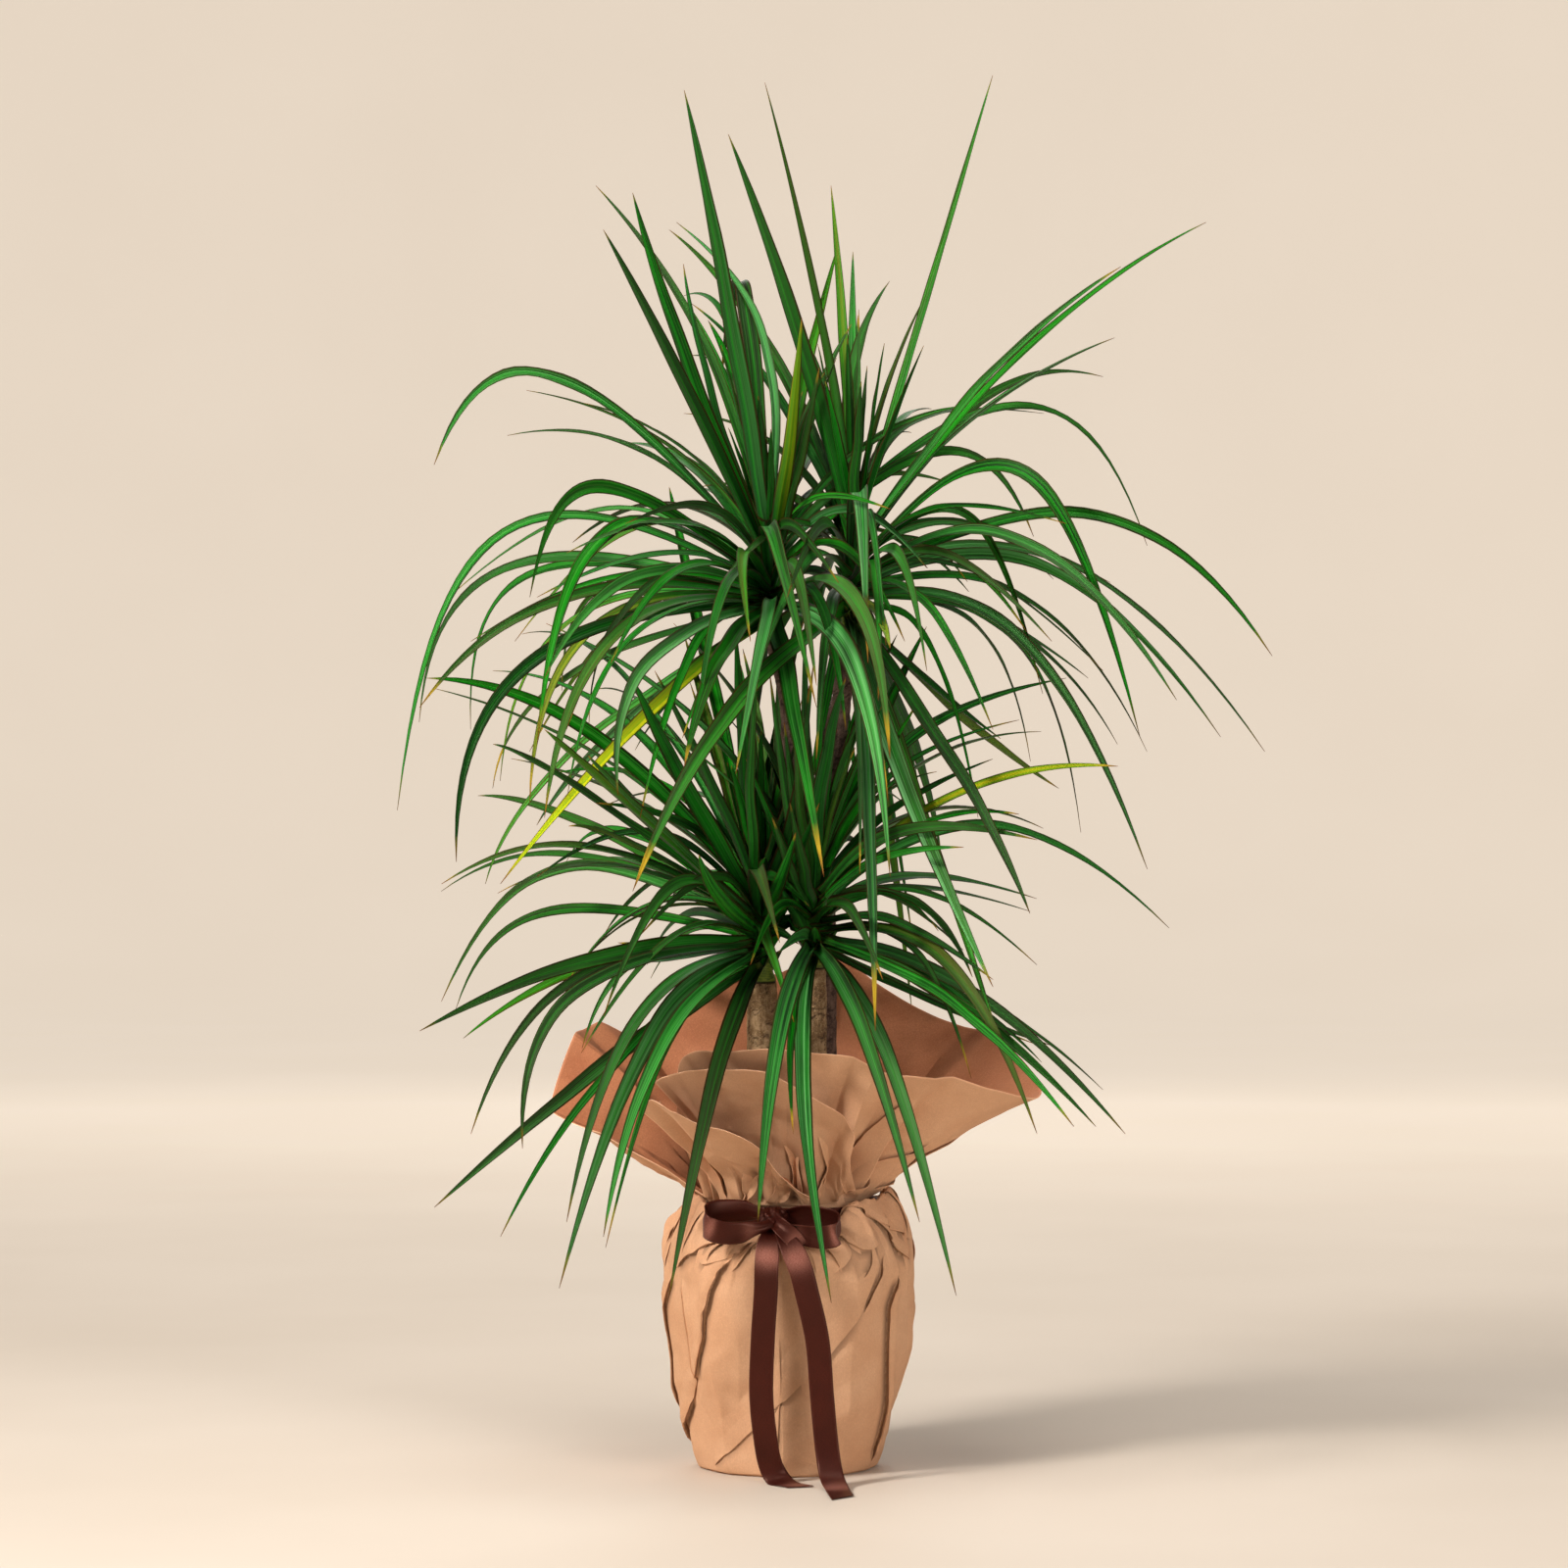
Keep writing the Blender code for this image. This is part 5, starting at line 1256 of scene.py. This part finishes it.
def fold_fields(degrees, along):
    """The hollow that each listed fold leaves on its right, and the shade painted there."""
    out, shade = np.zeros_like(degrees), np.zeros_like(degrees)
    for line, height, _ in FOLDS:
        x = rolled_out(degrees, line[0][0])
        path = [(rolled_out(d, line[0][0]), z) for d, z in line]
        best = np.full_like(x, 1e6)
        off, run, start = np.zeros_like(x), np.zeros_like(x), 0
        for (ax, ay), (bx, by) in zip(path, path[1:]):
            length = math.hypot(bx - ax, by - ay)
            tx, ty = (bx - ax) / length, (by - ay) / length
            t = np.clip((x - ax) * tx + (along - ay) * ty, 0, length)
            gap = np.hypot(x - ax - t * tx, along - ay - t * ty)
            nearer = gap < best
            best = np.where(nearer, gap, best)
            off = np.where(nearer, np.where((along - ay) * tx > (x - ax) * ty, gap, -gap), off)
            run = np.where(nearer, start + t, run)
            start += length
        taper = tapered(run, start)
        out -= 0.6 * height * taper * np.where(off < 0, bell(off, 7.0), bell(off, 2.5))
        # Painted shade just to the right of each fold, where its edge would cast a shadow
        shade = np.maximum(shade, taper * min(height / 3, 1) * np.where(off < 0, bell(off, 4.2), 0))
    return out, shade


class Surface:
    """A grid of points over directions in degrees and lengths up the sheet, read between them."""

    def __init__(self, points, degrees, along, closed):
        self.along = np.maximum.accumulate(along)
        self.degrees = np.append(degrees, degrees[0] + 360) if closed else degrees
        self.points = np.concatenate([points, points[:, :1]], 1) if closed else points
        normal = np.cross(np.gradient(self.points, axis=1), np.gradient(self.points, axis=0))
        self.normals = normal / np.maximum(np.linalg.norm(normal, axis=-1), 1e-9)[..., None]

    def at(self, degrees, along):
        start = self.degrees[0]
        column = np.interp((degrees - start) % 360 + start, self.degrees, np.arange(len(self.degrees)))
        row = np.interp(along, self.along, np.arange(len(self.along)))
        i = np.minimum(row.astype(int), len(self.along) - 2)
        k = np.minimum(column.astype(int), len(self.degrees) - 2)
        s, t = (row - i)[..., None], (column - k)[..., None]
        read = []
        for grid in (self.points, self.normals):
            low = grid[i, k] * (1 - t) + grid[i, k + 1] * t
            high = grid[i + 1, k] * (1 - t) + grid[i + 1, k + 1] * t
            read.append(low * (1 - s) + high * s)
        return read


def pleat(surface, line, height, width, seed):
    """A fold of paper along a line: it rises from its left to a sharp edge, then turns under."""
    line = np.asarray(line, float)
    flat = np.stack([rolled_out(line[:, 0], line[0, 0]), line[:, 1]], -1)
    run = lengths(flat)
    total = run[-1]
    at = np.linspace(0, total, max(int(total / 1.6), 14))
    path = np.stack([np.interp(at, run, flat[:, k]) for k in (0, 1)], -1)
    for _ in range(4):
        path[1:-1] = (path[:-2] + 2 * path[1:-1] + path[2:]) / 4
    ahead = np.gradient(path, axis=0)
    ahead /= np.linalg.norm(ahead, axis=1)[:, None]
    left = np.stack([-ahead[:, 1], ahead[:, 0]], -1)
    taper = tapered(at, total)
    uneven = 1 + 0.10 * np.sin(at / 17 + seed)
    rise = (height * uneven + PLEAT_SUNK) * taper
    far = np.linspace(1, 0, 10)
    turned = np.array(PLEAT_TURN)
    share = np.concatenate([(1 - far) ** 2, turned[:, 1]])
    wide = width * (0.45 + 0.55 * taper)
    aside = np.concatenate([wide[:, None] * far, np.tile(turned[:, 0], (len(at), 1))], 1)
    place = path[:, None, :] + aside[..., None] * left[:, None, :]
    base, normal = surface.at(line[0, 0] + np.degrees(place[..., 0] / ROUND_SIZE), place[..., 1])
    points = base + normal * (rise[:, None] * share - PLEAT_SUNK)[..., None]
    # Painted shade on the turned under edge, where a shadow would fall
    dark = np.tile(np.concatenate([np.zeros(len(far)), turned[:, 2]]), len(at))
    return points.reshape(-1, 3), grid_faces(len(at), len(share)), {"crease": dark, "rim": 0.0}


def joined_pleats(name, node, surface, folds, finish):
    """All the pleats of one sheet as one piece."""
    points, faces, marks = joined([pleat(surface, *fold, seed) for seed, fold in enumerate(folds)])
    points[:, 2] = np.maximum(points[:, 2], 0.05)
    piece(name, (points, faces, marks), [finish], [node], crisp=True)


def tucks(rng):
    """Small tucks that run up the shoulder to the tie, closer together near the knot."""
    lines = []
    for k in range(TUCKS):
        turn = 360 * (k + rng.uniform(-0.3, 0.3)) / TUCKS
        off = degrees_from(KNOT_TURN, turn)
        drawn = turn - off * 0.45 * math.exp(-(off / 60) ** 2)
        low, high = rng.uniform(134, 152), rng.uniform(176, 188)
        bend = rng.uniform(-3, 3)
        line = [(turn, low), ((turn + drawn) / 2 + bend, (low + high) / 2), (drawn, high)]
        if rng.random() < 0.45:
            line.reverse()
        lines.append((line, rng.uniform(1.2, 2.3), rng.uniform(5, 8)))
    return lines


def ring_sheet(name, outer, inner, finishes, shade, edge, ends=()):
    """A closed piece from an outer and an inner grid round the plant, joined along its last row."""
    rows, columns = outer.shape[:2]
    size = rows * columns
    back = grid_faces(len(inner), columns, True, size)
    faces = grid_faces(rows, columns, True)
    looks = [0] * len(faces) + [1] * len(back)
    faces += [face[::-1] for face in back]
    last, middle = size - columns, size + len(inner) * columns
    rim = middle - columns
    for k in range(columns):
        n = (k + 1) % columns
        faces.append((last + k, last + n, rim + n, rim + k))
        if ends:
            faces += [(n, k, middle), (size + k, size + n, middle + 1)]
            looks += [0, 0, 1]
        else:
            faces.append((n, k, size + k, size + n))
            looks += [0, 0]
    points = np.concatenate([outer.reshape(-1, 3), inner.reshape(-1, 3), np.reshape(ends, (-1, 3))])
    none = np.zeros(len(ends))
    marks = {"crease": np.append(shade.ravel(), none), "rim": np.append(edge.ravel(), none)}
    piece(name, (points, faces, marks), finishes, ["paper_wrap"], looks, crisp=True)


def panelled(degrees):
    """How far flat panels between the corners lie inside the round."""
    corners = np.array(PANELS + [PANELS[0] + 360], float)
    at = (degrees - corners[0]) % 360 + corners[0]
    i = np.clip(np.searchsorted(corners, at, side="right") - 1, 0, len(corners) - 2)
    middle, half = (corners[i] + corners[i + 1]) / 2, (corners[i + 1] - corners[i]) / 2
    return np.cos(np.radians(half)) / np.cos(np.radians(at - middle)) - 1


def gathered(degrees, along):
    """Directions as they were before the paper was drawn to the knot."""
    off = degrees_from(KNOT_TURN, degrees)
    return degrees + off * 0.4 * smooth_step(105, 168, along) * bell(off, 55)


def body_points(degrees, place):
    """The wrapped body's outer face at directions and places of its profile, and the shade painted on it."""
    a = np.radians(degrees)
    rows = between(PROFILE, place)
    puffed = around(PUFFED, degrees)[..., 0]
    radius = rows[..., 0] + puffed * (rows[..., 2] - rows[..., 0])
    height = rows[..., 1] + puffed * (rows[..., 3] - rows[..., 1])
    along = between(ALONG, place)[..., 0]
    slope_r, slope_z = np.gradient(radius, axis=0), np.gradient(height, axis=0)
    size = np.hypot(slope_r, slope_z)

    loose = smooth_step(2, 18, along)
    tied = smooth_step(182, 192, along)
    hollow, shade = fold_fields(degrees, along)
    flat = 0.85 * radius * panelled(degrees) * smooth_step(-4, 8, along) * (1 - smooth_step(128, 160, along))
    gather = between(GATHER, along)[..., 0]
    high = gathers(np.radians(gathered(degrees, along)))
    out = 4.2 * gather * high + hollow * loose
    spot = polar(90, a, along)
    bent = [np.sin(spot[..., axis] / wave) for axis, wave in ((2, 19), (0, 23), (1, 17))]
    spot = spot + 5 * np.stack(bent, -1)
    crumple = 4.0 * facets(spot, 47, 3) + 1.7 * facets(spot, 23, 5) * (0.6 + 0.9 * gather)
    out += loose * (1 - 0.7 * tied) * crumple
    out += 1.0 * loose * facets(spot, 10, 9) * (0.15 + gather) * (1 - tied)
    inside = 1 - smooth_step(178, 186, along)
    out = flat + out * (inside + (1 - inside) * 0.5)

    radius = radius + out * (slope_z / size)
    height = height - out * (slope_r / size)
    height = np.where(place < 0.01, 0, np.maximum(height, 0.05))
    # Painted shade in the low parts of the tucks
    shade = np.maximum(shade, 0.7 * gather * (1 - tied) * np.clip(-2.2 * high, 0, 1))
    return polar(radius, a, height), shade


def rim_of(degrees):
    """Reach and height of the collar's rim: the wing at the left has straight sides and sharp corners."""
    places = np.array([row[0] for row in RIM], float)
    at = (np.asarray(degrees, float) + 10) % 360 - 10
    straight = np.stack([np.interp(at, places, [row[k] for row in RIM], period=360) for k in (1, 2)], -1)
    wing = (smooth_step(138, 142, at) * (1 - smooth_step(196, 200, at)))[..., None]
    return wing * straight + (1 - wing) * around(RIM, degrees)


def flare(degrees, share, rim, standoff):
    """A collar sheet from 0 at the neck to 1 at the rim: its points, its normals and the shade painted on it.
    """
    a = np.radians(degrees)
    reach, top = rim[..., 0], rim[..., 1]
    foot = NECK_RADIUS + standoff
    bend_radius = foot + 0.22 * (reach - foot)
    bend_height = NECK_HEIGHT + 0.45 * (top - NECK_HEIGHT)
    parts = ((1 - share) ** 2, 2 * share * (1 - share), share**2)
    radius = foot * parts[0] + bend_radius * parts[1] + reach * parts[2]
    height = NECK_HEIGHT * parts[0] + bend_height * parts[1] + top * parts[2]
    high = gathers(a)
    folded = (2.0 + 6.0 * smooth_step(0, 0.14, share)) * (1 - smooth_step(0.08, 0.62, share)) * high
    dark = np.zeros_like(share)
    # The valleys are hollows in the sheet, with shade painted along them
    for turn, depth, width in VALLEYS:
        valley = bell(degrees - turn, width) * smooth_step(0, 0.08, share)
        valley = valley * (1 - smooth_step(0.3, 0.6, share))
        folded = folded - depth * valley
        dark = np.maximum(dark, valley)
    inner = smooth_step(0.04, 0.35, share) * (1 - 0.7 * smooth_step(0.6, 1.0, share))
    spot = polar(40 + 90 * share, a, 60 * share)
    crumple = 4.4 * facets(spot, 39, 11) + 1.5 * facets(spot, 17, 17)
    out = folded + inner * (5.0 * creased(folds_phase(a, 10, 2.2)) + crumple)
    # The folds stand off along the sheet's own slope, which lies back as it spreads
    lean_radius = 2 * (1 - share) * (bend_height - NECK_HEIGHT) + 2 * share * (top - bend_height)
    lean_height = 2 * (1 - share) * (bend_radius - foot) + 2 * share * (reach - bend_radius)
    size = np.hypot(lean_radius, lean_height)
    points = polar(radius + out * lean_radius / size, a, height - out * lean_height / size)
    # Painted shade: in the low parts of the gathers, along the valleys, and near the neck
    shade = np.clip(-2.2 * high, 0, 1) * (1 - smooth_step(0.12, 0.55, share))
    shade = np.maximum(np.maximum(shade, dark), 0.55 * (1 - smooth_step(0.0, 0.3, share)))
    return points, polar(lean_radius / size, a, -lean_height / size), shade


def build_paper():
    """The wrapped body, the collar and its two turned layers, each with its pleats."""
    tan = paper_finish("kraft_outside", (0.645, 0.365, 0.208), (0.560, 0.295, 0.158), 0.26)
    brown = paper_finish("kraft_inside", (0.560, 0.215, 0.100), (0.440, 0.150, 0.066), 0.42)
    # More columns in front, where the photo shows the folds
    front, behind = np.linspace(176, 364, 350, endpoint=False), np.linspace(364, 536, 138, endpoint=False)
    degrees = np.concatenate([front, behind])
    places = np.concatenate([np.linspace(0, 2, 18), np.linspace(2, 5, 78)[1:], np.linspace(5, 14, 50)[1:]])
    body, shade = body_points(*np.meshgrid(degrees, places))
    lining = np.stack([polar(r, np.radians(degrees), z) for z, r in LINING])
    shades = np.concatenate([shade, np.zeros((len(LINING), len(degrees)))])
    foot = [(0, 0, 0), (0, 0, LINING[0][0])]
    ring_sheet("paper_body", body, lining, [tan, brown], shades, 0 * shades, foot)
    along = between(ALONG, places)[:, 0]
    folds = FOLDS + tucks(random.Random(LOOKS_SEED + 5))
    joined_pleats("paper_pleats", "paper_wrap", Surface(body, degrees, along, True), folds, tan)

    shares = np.append(np.linspace(0, 0.99, 54), 1)
    grid_d, grid_s = np.meshgrid(degrees, shares)
    collar, normal, shade = flare(grid_d, grid_s, rim_of(grid_d), 0)
    edge = np.zeros(shade.shape)
    edge[-1] = 1
    # Shade is painted on the inner face: darkest low down, and a painted shadow of the foliage behind the
    # canes
    low = 0.9 * (1 - smooth_step(0.15, 0.6, grid_s))
    canes = 0.85 * bell(degrees_from(85, grid_d), 34) * (1 - smooth_step(0.5, 0.95, grid_s))
    ring_sheet("paper_collar", collar, collar - normal * PAPER, [tan, brown],
               np.concatenate([shade, np.maximum(low, canes)]), np.concatenate([edge, edge]))
    surface = Surface(collar, degrees, COLLAR_RUN * shares, True)
    joined_pleats("paper_collar_pleats", "paper_wrap", surface, COLLAR_FOLDS, tan)
    for name, node, table, standoff, folds, painted_flap_shade in (
        ("paper_layer_upper", "paper_flap_upper", UPPER_FLAP, UPPER_STANDOFF, UPPER_FOLDS, 0.5),
        ("paper_layer_lower", "paper_flap_lower", LOWER_FLAP, LOWER_STANDOFF, LOWER_FOLDS, 0.2),
    ):
        degrees = np.linspace(table[0][0], table[-1][0], LAYER_COLUMNS)
        d, share = np.meshgrid(degrees, shares)
        outer, normal, shade = flare(d, share, between(table, d), standoff)
        # Painted shade over the turned layers, more on the upper one and towards the neck
        shade = np.maximum(shade, painted_flap_shade * (1 - 0.5 * share))
        edge = np.zeros(shade.shape)
        edge[-1], edge[:, 0], edge[:, -1] = 1, 1, 1
        layer = thin_sheet(outer, outer - normal * PAPER, crease=shade, rim=edge)
        looks = np.zeros(len(layer[1]), int)
        one_face = (len(shares) - 1) * (LAYER_COLUMNS - 1)
        looks[one_face:2 * one_face] = 1
        piece(name, layer, [tan, brown], [node], looks, crisp=True)
        joined_pleats(name + "_pleats", node, Surface(outer, degrees, COLLAR_RUN * shares, False), folds, tan)


# Ribbon

def strip(path, across, width, bow=0.0, folds=0.0, shine=0.0, slant=0, picot=PICOT):
    """A satin strip along a path, which may bow and fold on its way and carry a painted highlight. Its edges
    carry a picot.
    """
    u = np.linspace(-1, 1, RIBBON_ACROSS)
    ahead = np.gradient(path, axis=0)
    ahead /= np.linalg.norm(ahead, axis=1)[:, None]
    side = across - (across * ahead).sum(1)[:, None] * ahead
    side /= np.linalg.norm(side, axis=1)[:, None]
    face = np.cross(side, ahead)
    run = lengths(path)
    each = (width / 2, bow, folds, shine)
    half, bow, folds, shine = (np.broadcast_to(value, len(path))[:, None] for value in each)
    edge = half[:, 0] + picot * np.sin(TURN * run / PICOT_PERIOD)
    x = half * u
    x[:, 0], x[:, -1] = -edge, edge
    lift = bow * (1 - u**2) + 1.1 * folds * np.cos(3.2 * math.pi * u)
    # A slanting cut at the end: one edge is drawn on and the other held back
    cut = slant * smooth_step(run[-1] - 14, run[-1], run)[:, None] * u
    middle = path[:, None, :] + x[..., None] * side[:, None, :] + lift[..., None] * face[:, None, :]
    middle = middle + cut[..., None] * ahead[:, None, :]
    thick = face[:, None, :] * RIBBON_THICKNESS / 2
    marks = {"across": u, "run": run[:, None] * MM, "shine": shine * (0.75 + 0.25 * np.cos(2.2 * u))}
    points, faces, marks = thin_sheet(middle + thick, middle - thick, **marks)
    points[:, 2] = np.maximum(points[:, 2], 0.1)
    return points, faces, marks


def along_points(points, step):
    """A smooth path through points, sampled about every step."""
    table = [(i, *point) for i, point in enumerate(points)]
    rough = between(table, np.linspace(0, len(points) - 1, 400))
    run = lengths(rough)
    even = np.linspace(0, run[-1], max(int(run[-1] / step), 4))
    return np.stack([np.interp(even, run, rough[:, k]) for k in range(3)], -1)


def loop_strip(reach, opening, rise, turn):
    """One loop of the bow: out of the knot along its front and back again behind, pinched at the knot."""
    a = np.linspace(0.10, TURN - 0.10, 170)
    out = (1 - np.cos(a)) / 2
    bulge = np.sign(np.sin(a)) * np.abs(np.sin(a)) ** 0.6
    start = np.array([KNOT[0], KNOT[1] - 3, KNOT[2] - 0.5])
    path = start + np.outer(out, reach) - np.outer(bulge, (0, opening, 0))
    path = path - np.outer(bulge * out**0.4, (0, 0, rise))
    path[:, 2] -= 2.8 * np.sin(math.pi * out) * (bulge > 0)
    pinch = smooth_step(0.02, 0.5, out)
    lean = np.array([0, -0.55, 1.0]) + np.outer(np.sin(a), (turn, 0, 0)) + np.outer(out, (0, 0.35, 0))
    bow = (1.6 + 2.4 * (1 - pinch)) * np.sign(np.sin(a) + 1e-9)
    # Painted highlights at the loop's outer end and part way along it
    shine = 0.75 * bell(out - 0.93, 0.06) * (a < math.pi * 1.05)
    shine = shine + 0.35 * bell(out - 0.36, 0.10) * (a < math.pi)
    return strip(path, lean, RIBBON_WIDTH * (0.32 + 0.68 * pinch), bow, 1 - pinch, shine)


def knot_mesh():
    """The knot: a round cushion with folds that wind over it."""
    rows, sides = 40, 60
    x, y, z = KNOT
    points = []
    for i in range(rows):
        v = -1 + 2 * i / (rows - 1)
        size = math.sqrt(1 - 0.8 * v * v)
        for k in range(sides):
            b = TURN * k / sides
            fold = 1 + 0.13 * math.sin(6 * b + 5 * v) + 0.08 * abs(math.sin(5.5 * b - 4 * v))
            wide, deep = 8.5 * size * fold, 9 * size * fold
            points.append((x + wide * math.cos(b), y - 2 + deep * math.sin(b), z + 7.8 * v))
    across, run = np.linspace(-0.8, 0.8, sides), np.linspace(0, 0.02, rows)
    return points, tube_faces(rows, sides), {"across": np.tile(across, rows), "run": np.repeat(run, sides)}


def build_ribbon():
    """The band, two loops, a curl under the knot, two tails and the knot, as one piece."""
    turns = np.linspace(0, TURN, 361)
    wobble = 0.25 * np.sin(7 * turns) + 0.2 * np.sin(12 * turns + 1)
    band = polar(BAND_RADIUS + 0.8 + wobble, turns, BAND_MIDDLE + 0.8 * np.sin(2 * turns + 0.5))
    curl = along_points(CURL, 0.6)
    run = np.linspace(0, 1, len(curl))
    wide = 12 * np.sin(np.linspace(0.25, 1.0, len(curl)) * math.pi * 0.86)
    parts = [
        strip(band, np.array([0, 0, 1.0]), BAND_WIDTH, picot=0),
        loop_strip((-45, -13, 0), 10, 6.5, 0.25),
        loop_strip((43, -18, -5), 9, 5.5, -0.25),
        # Painted highlight on the middle of the curl
        strip(curl, np.array([0.5, 0.25, 1.0]), wide, 2.2, shine=0.6 * bell(run - 0.55, 0.12)),
    ]
    for points, slant, low in ((LEFT_TAIL, 4, 0.97), (RIGHT_TAIL, -7, 0.86)):
        path = along_points(points, 0.56)
        run = np.linspace(0, 1, len(path))
        wide = RIBBON_WIDTH * (0.45 + 0.55 * smooth_step(0.0, 0.16, run))
        across = np.stack([np.ones_like(run), 0.12 * np.sin(run * 7), np.zeros_like(run)], -1)
        # Painted highlights where the tail bends over the shoulder and near its foot
        shine = bell(run - 0.165, 0.034) + 0.6 * bell(run - low, 0.03)
        bow = 2.4 * (1 - smooth_step(0.0, 0.24, run))
        parts.append(strip(path, across, wide, bow, shine=shine, slant=slant))
    parts.append(knot_mesh())
    ribbon = piece("ribbon_bow", joined(parts), [satin_finish()], ["satin_ribbon"])


# Stage

def glow(name, place, aim, size, power, colour, spread):
    """A round lamp that the camera doesn't see."""
    light = bpy.data.lights.new(name, "AREA")
    light.shape = "DISK"
    light.size = size
    light.energy = power
    light.color = colour
    light.spread = math.radians(spread)
    made = linked(name, light)
    made.location = place
    made.rotation_euler = (Vector(aim) - Vector(place)).to_track_quat("-Z", "Y").to_euler()
    made.visible_camera = False


def stage_ring(name, profile, material):
    """A part of the stage: a profile of (radius, height) in metres, turned round the plant."""
    sides = 144
    turns = np.arange(sides) * TURN / sides
    points = [(r * math.cos(t), r * math.sin(t), z) for r, z in profile for t in turns]
    mesh = bpy.data.meshes.new(name)
    mesh.from_pydata(points, [], grid_faces(len(profile), sides, True))
    mesh.materials.append(material)
    mesh.shade_smooth()
    made = linked(name, mesh)
    return made


def build_stage():
    """A pale floor that curves up into a far wall all round, and soft light from the front left."""
    ground = Finish("pale_floor", 0.6, 0.2, Emission_Strength=1.0)
    cloud = ground.noise(ground.place(), 2.0, 3.0)
    ground.colour(ground.over((0.615, 0.520, 0.425), (0.665, 0.570, 0.475), cloud, 0.3, 0.7))
    # The lamps are near the plant, so what lies far from them glows by itself and stays as pale
    away = ground.node("ShaderNodeVectorMath", {0: ground.place()}, operation="LENGTH").outputs["Value"]
    glowing = ground.over((0.0, 0.0, 0.0), FAR_GLOW, away, 0.5, 3.6)
    ground.feed(ground.shader.inputs["Emission Color"], glowing)
    stage_ring("floor", [(0.001, 0.0), (0.5, 0.0), (1.2, 0.0), (FLOOR_REACH, 0.0)], ground.material)
    curve = [(WALL_AWAY - WALL_CURVE + WALL_CURVE * math.sin(t), WALL_CURVE - WALL_CURVE * math.cos(t))
             for t in np.linspace(0, math.pi / 2, 20)]
    wall = stage_ring("backdrop", [(FLOOR_REACH, 0.0)] + curve + [(WALL_AWAY, WALL_TOP)], ground.material)
    # It is there to be seen, and neither lights the plant nor keeps the world's light from it
    wall.visible_diffuse = wall.visible_glossy = wall.visible_shadow = False
    for name, lamp in LAMPS.items():
        glow(name, *lamp)
    world = bpy.data.worlds.new("studio")
    world.use_nodes = True
    world.node_tree.nodes["Background"].inputs["Color"].default_value = (1.0, 0.97, 0.93, 1)
    world.node_tree.nodes["Background"].inputs["Strength"].default_value = 0.24
    bpy.context.scene.world = world
    bpy.context.scene.view_settings.view_transform = "Standard"


def build_camera():
    lens = bpy.data.cameras.new("camera")
    lens.lens = LENS_MM
    lens.sensor_width = 36
    lens.clip_end = 50
    camera = linked("camera", lens)
    camera.location = Vector((EYE_ASIDE, EYE_DEPTH, EYE_HEIGHT)) * MM
    camera.rotation_euler = (math.pi / 2, 0, 0)
    bpy.context.scene.camera = camera


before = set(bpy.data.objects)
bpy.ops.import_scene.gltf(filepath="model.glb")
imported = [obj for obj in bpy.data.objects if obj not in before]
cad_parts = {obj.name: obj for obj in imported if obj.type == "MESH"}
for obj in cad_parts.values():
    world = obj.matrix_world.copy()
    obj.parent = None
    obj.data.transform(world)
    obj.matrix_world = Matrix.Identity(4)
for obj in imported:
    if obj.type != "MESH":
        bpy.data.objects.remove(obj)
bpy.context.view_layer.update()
build_camera()
build_stage()
build_crowns()
build_canes()
build_pot()
build_soil()
build_paper()
build_ribbon()
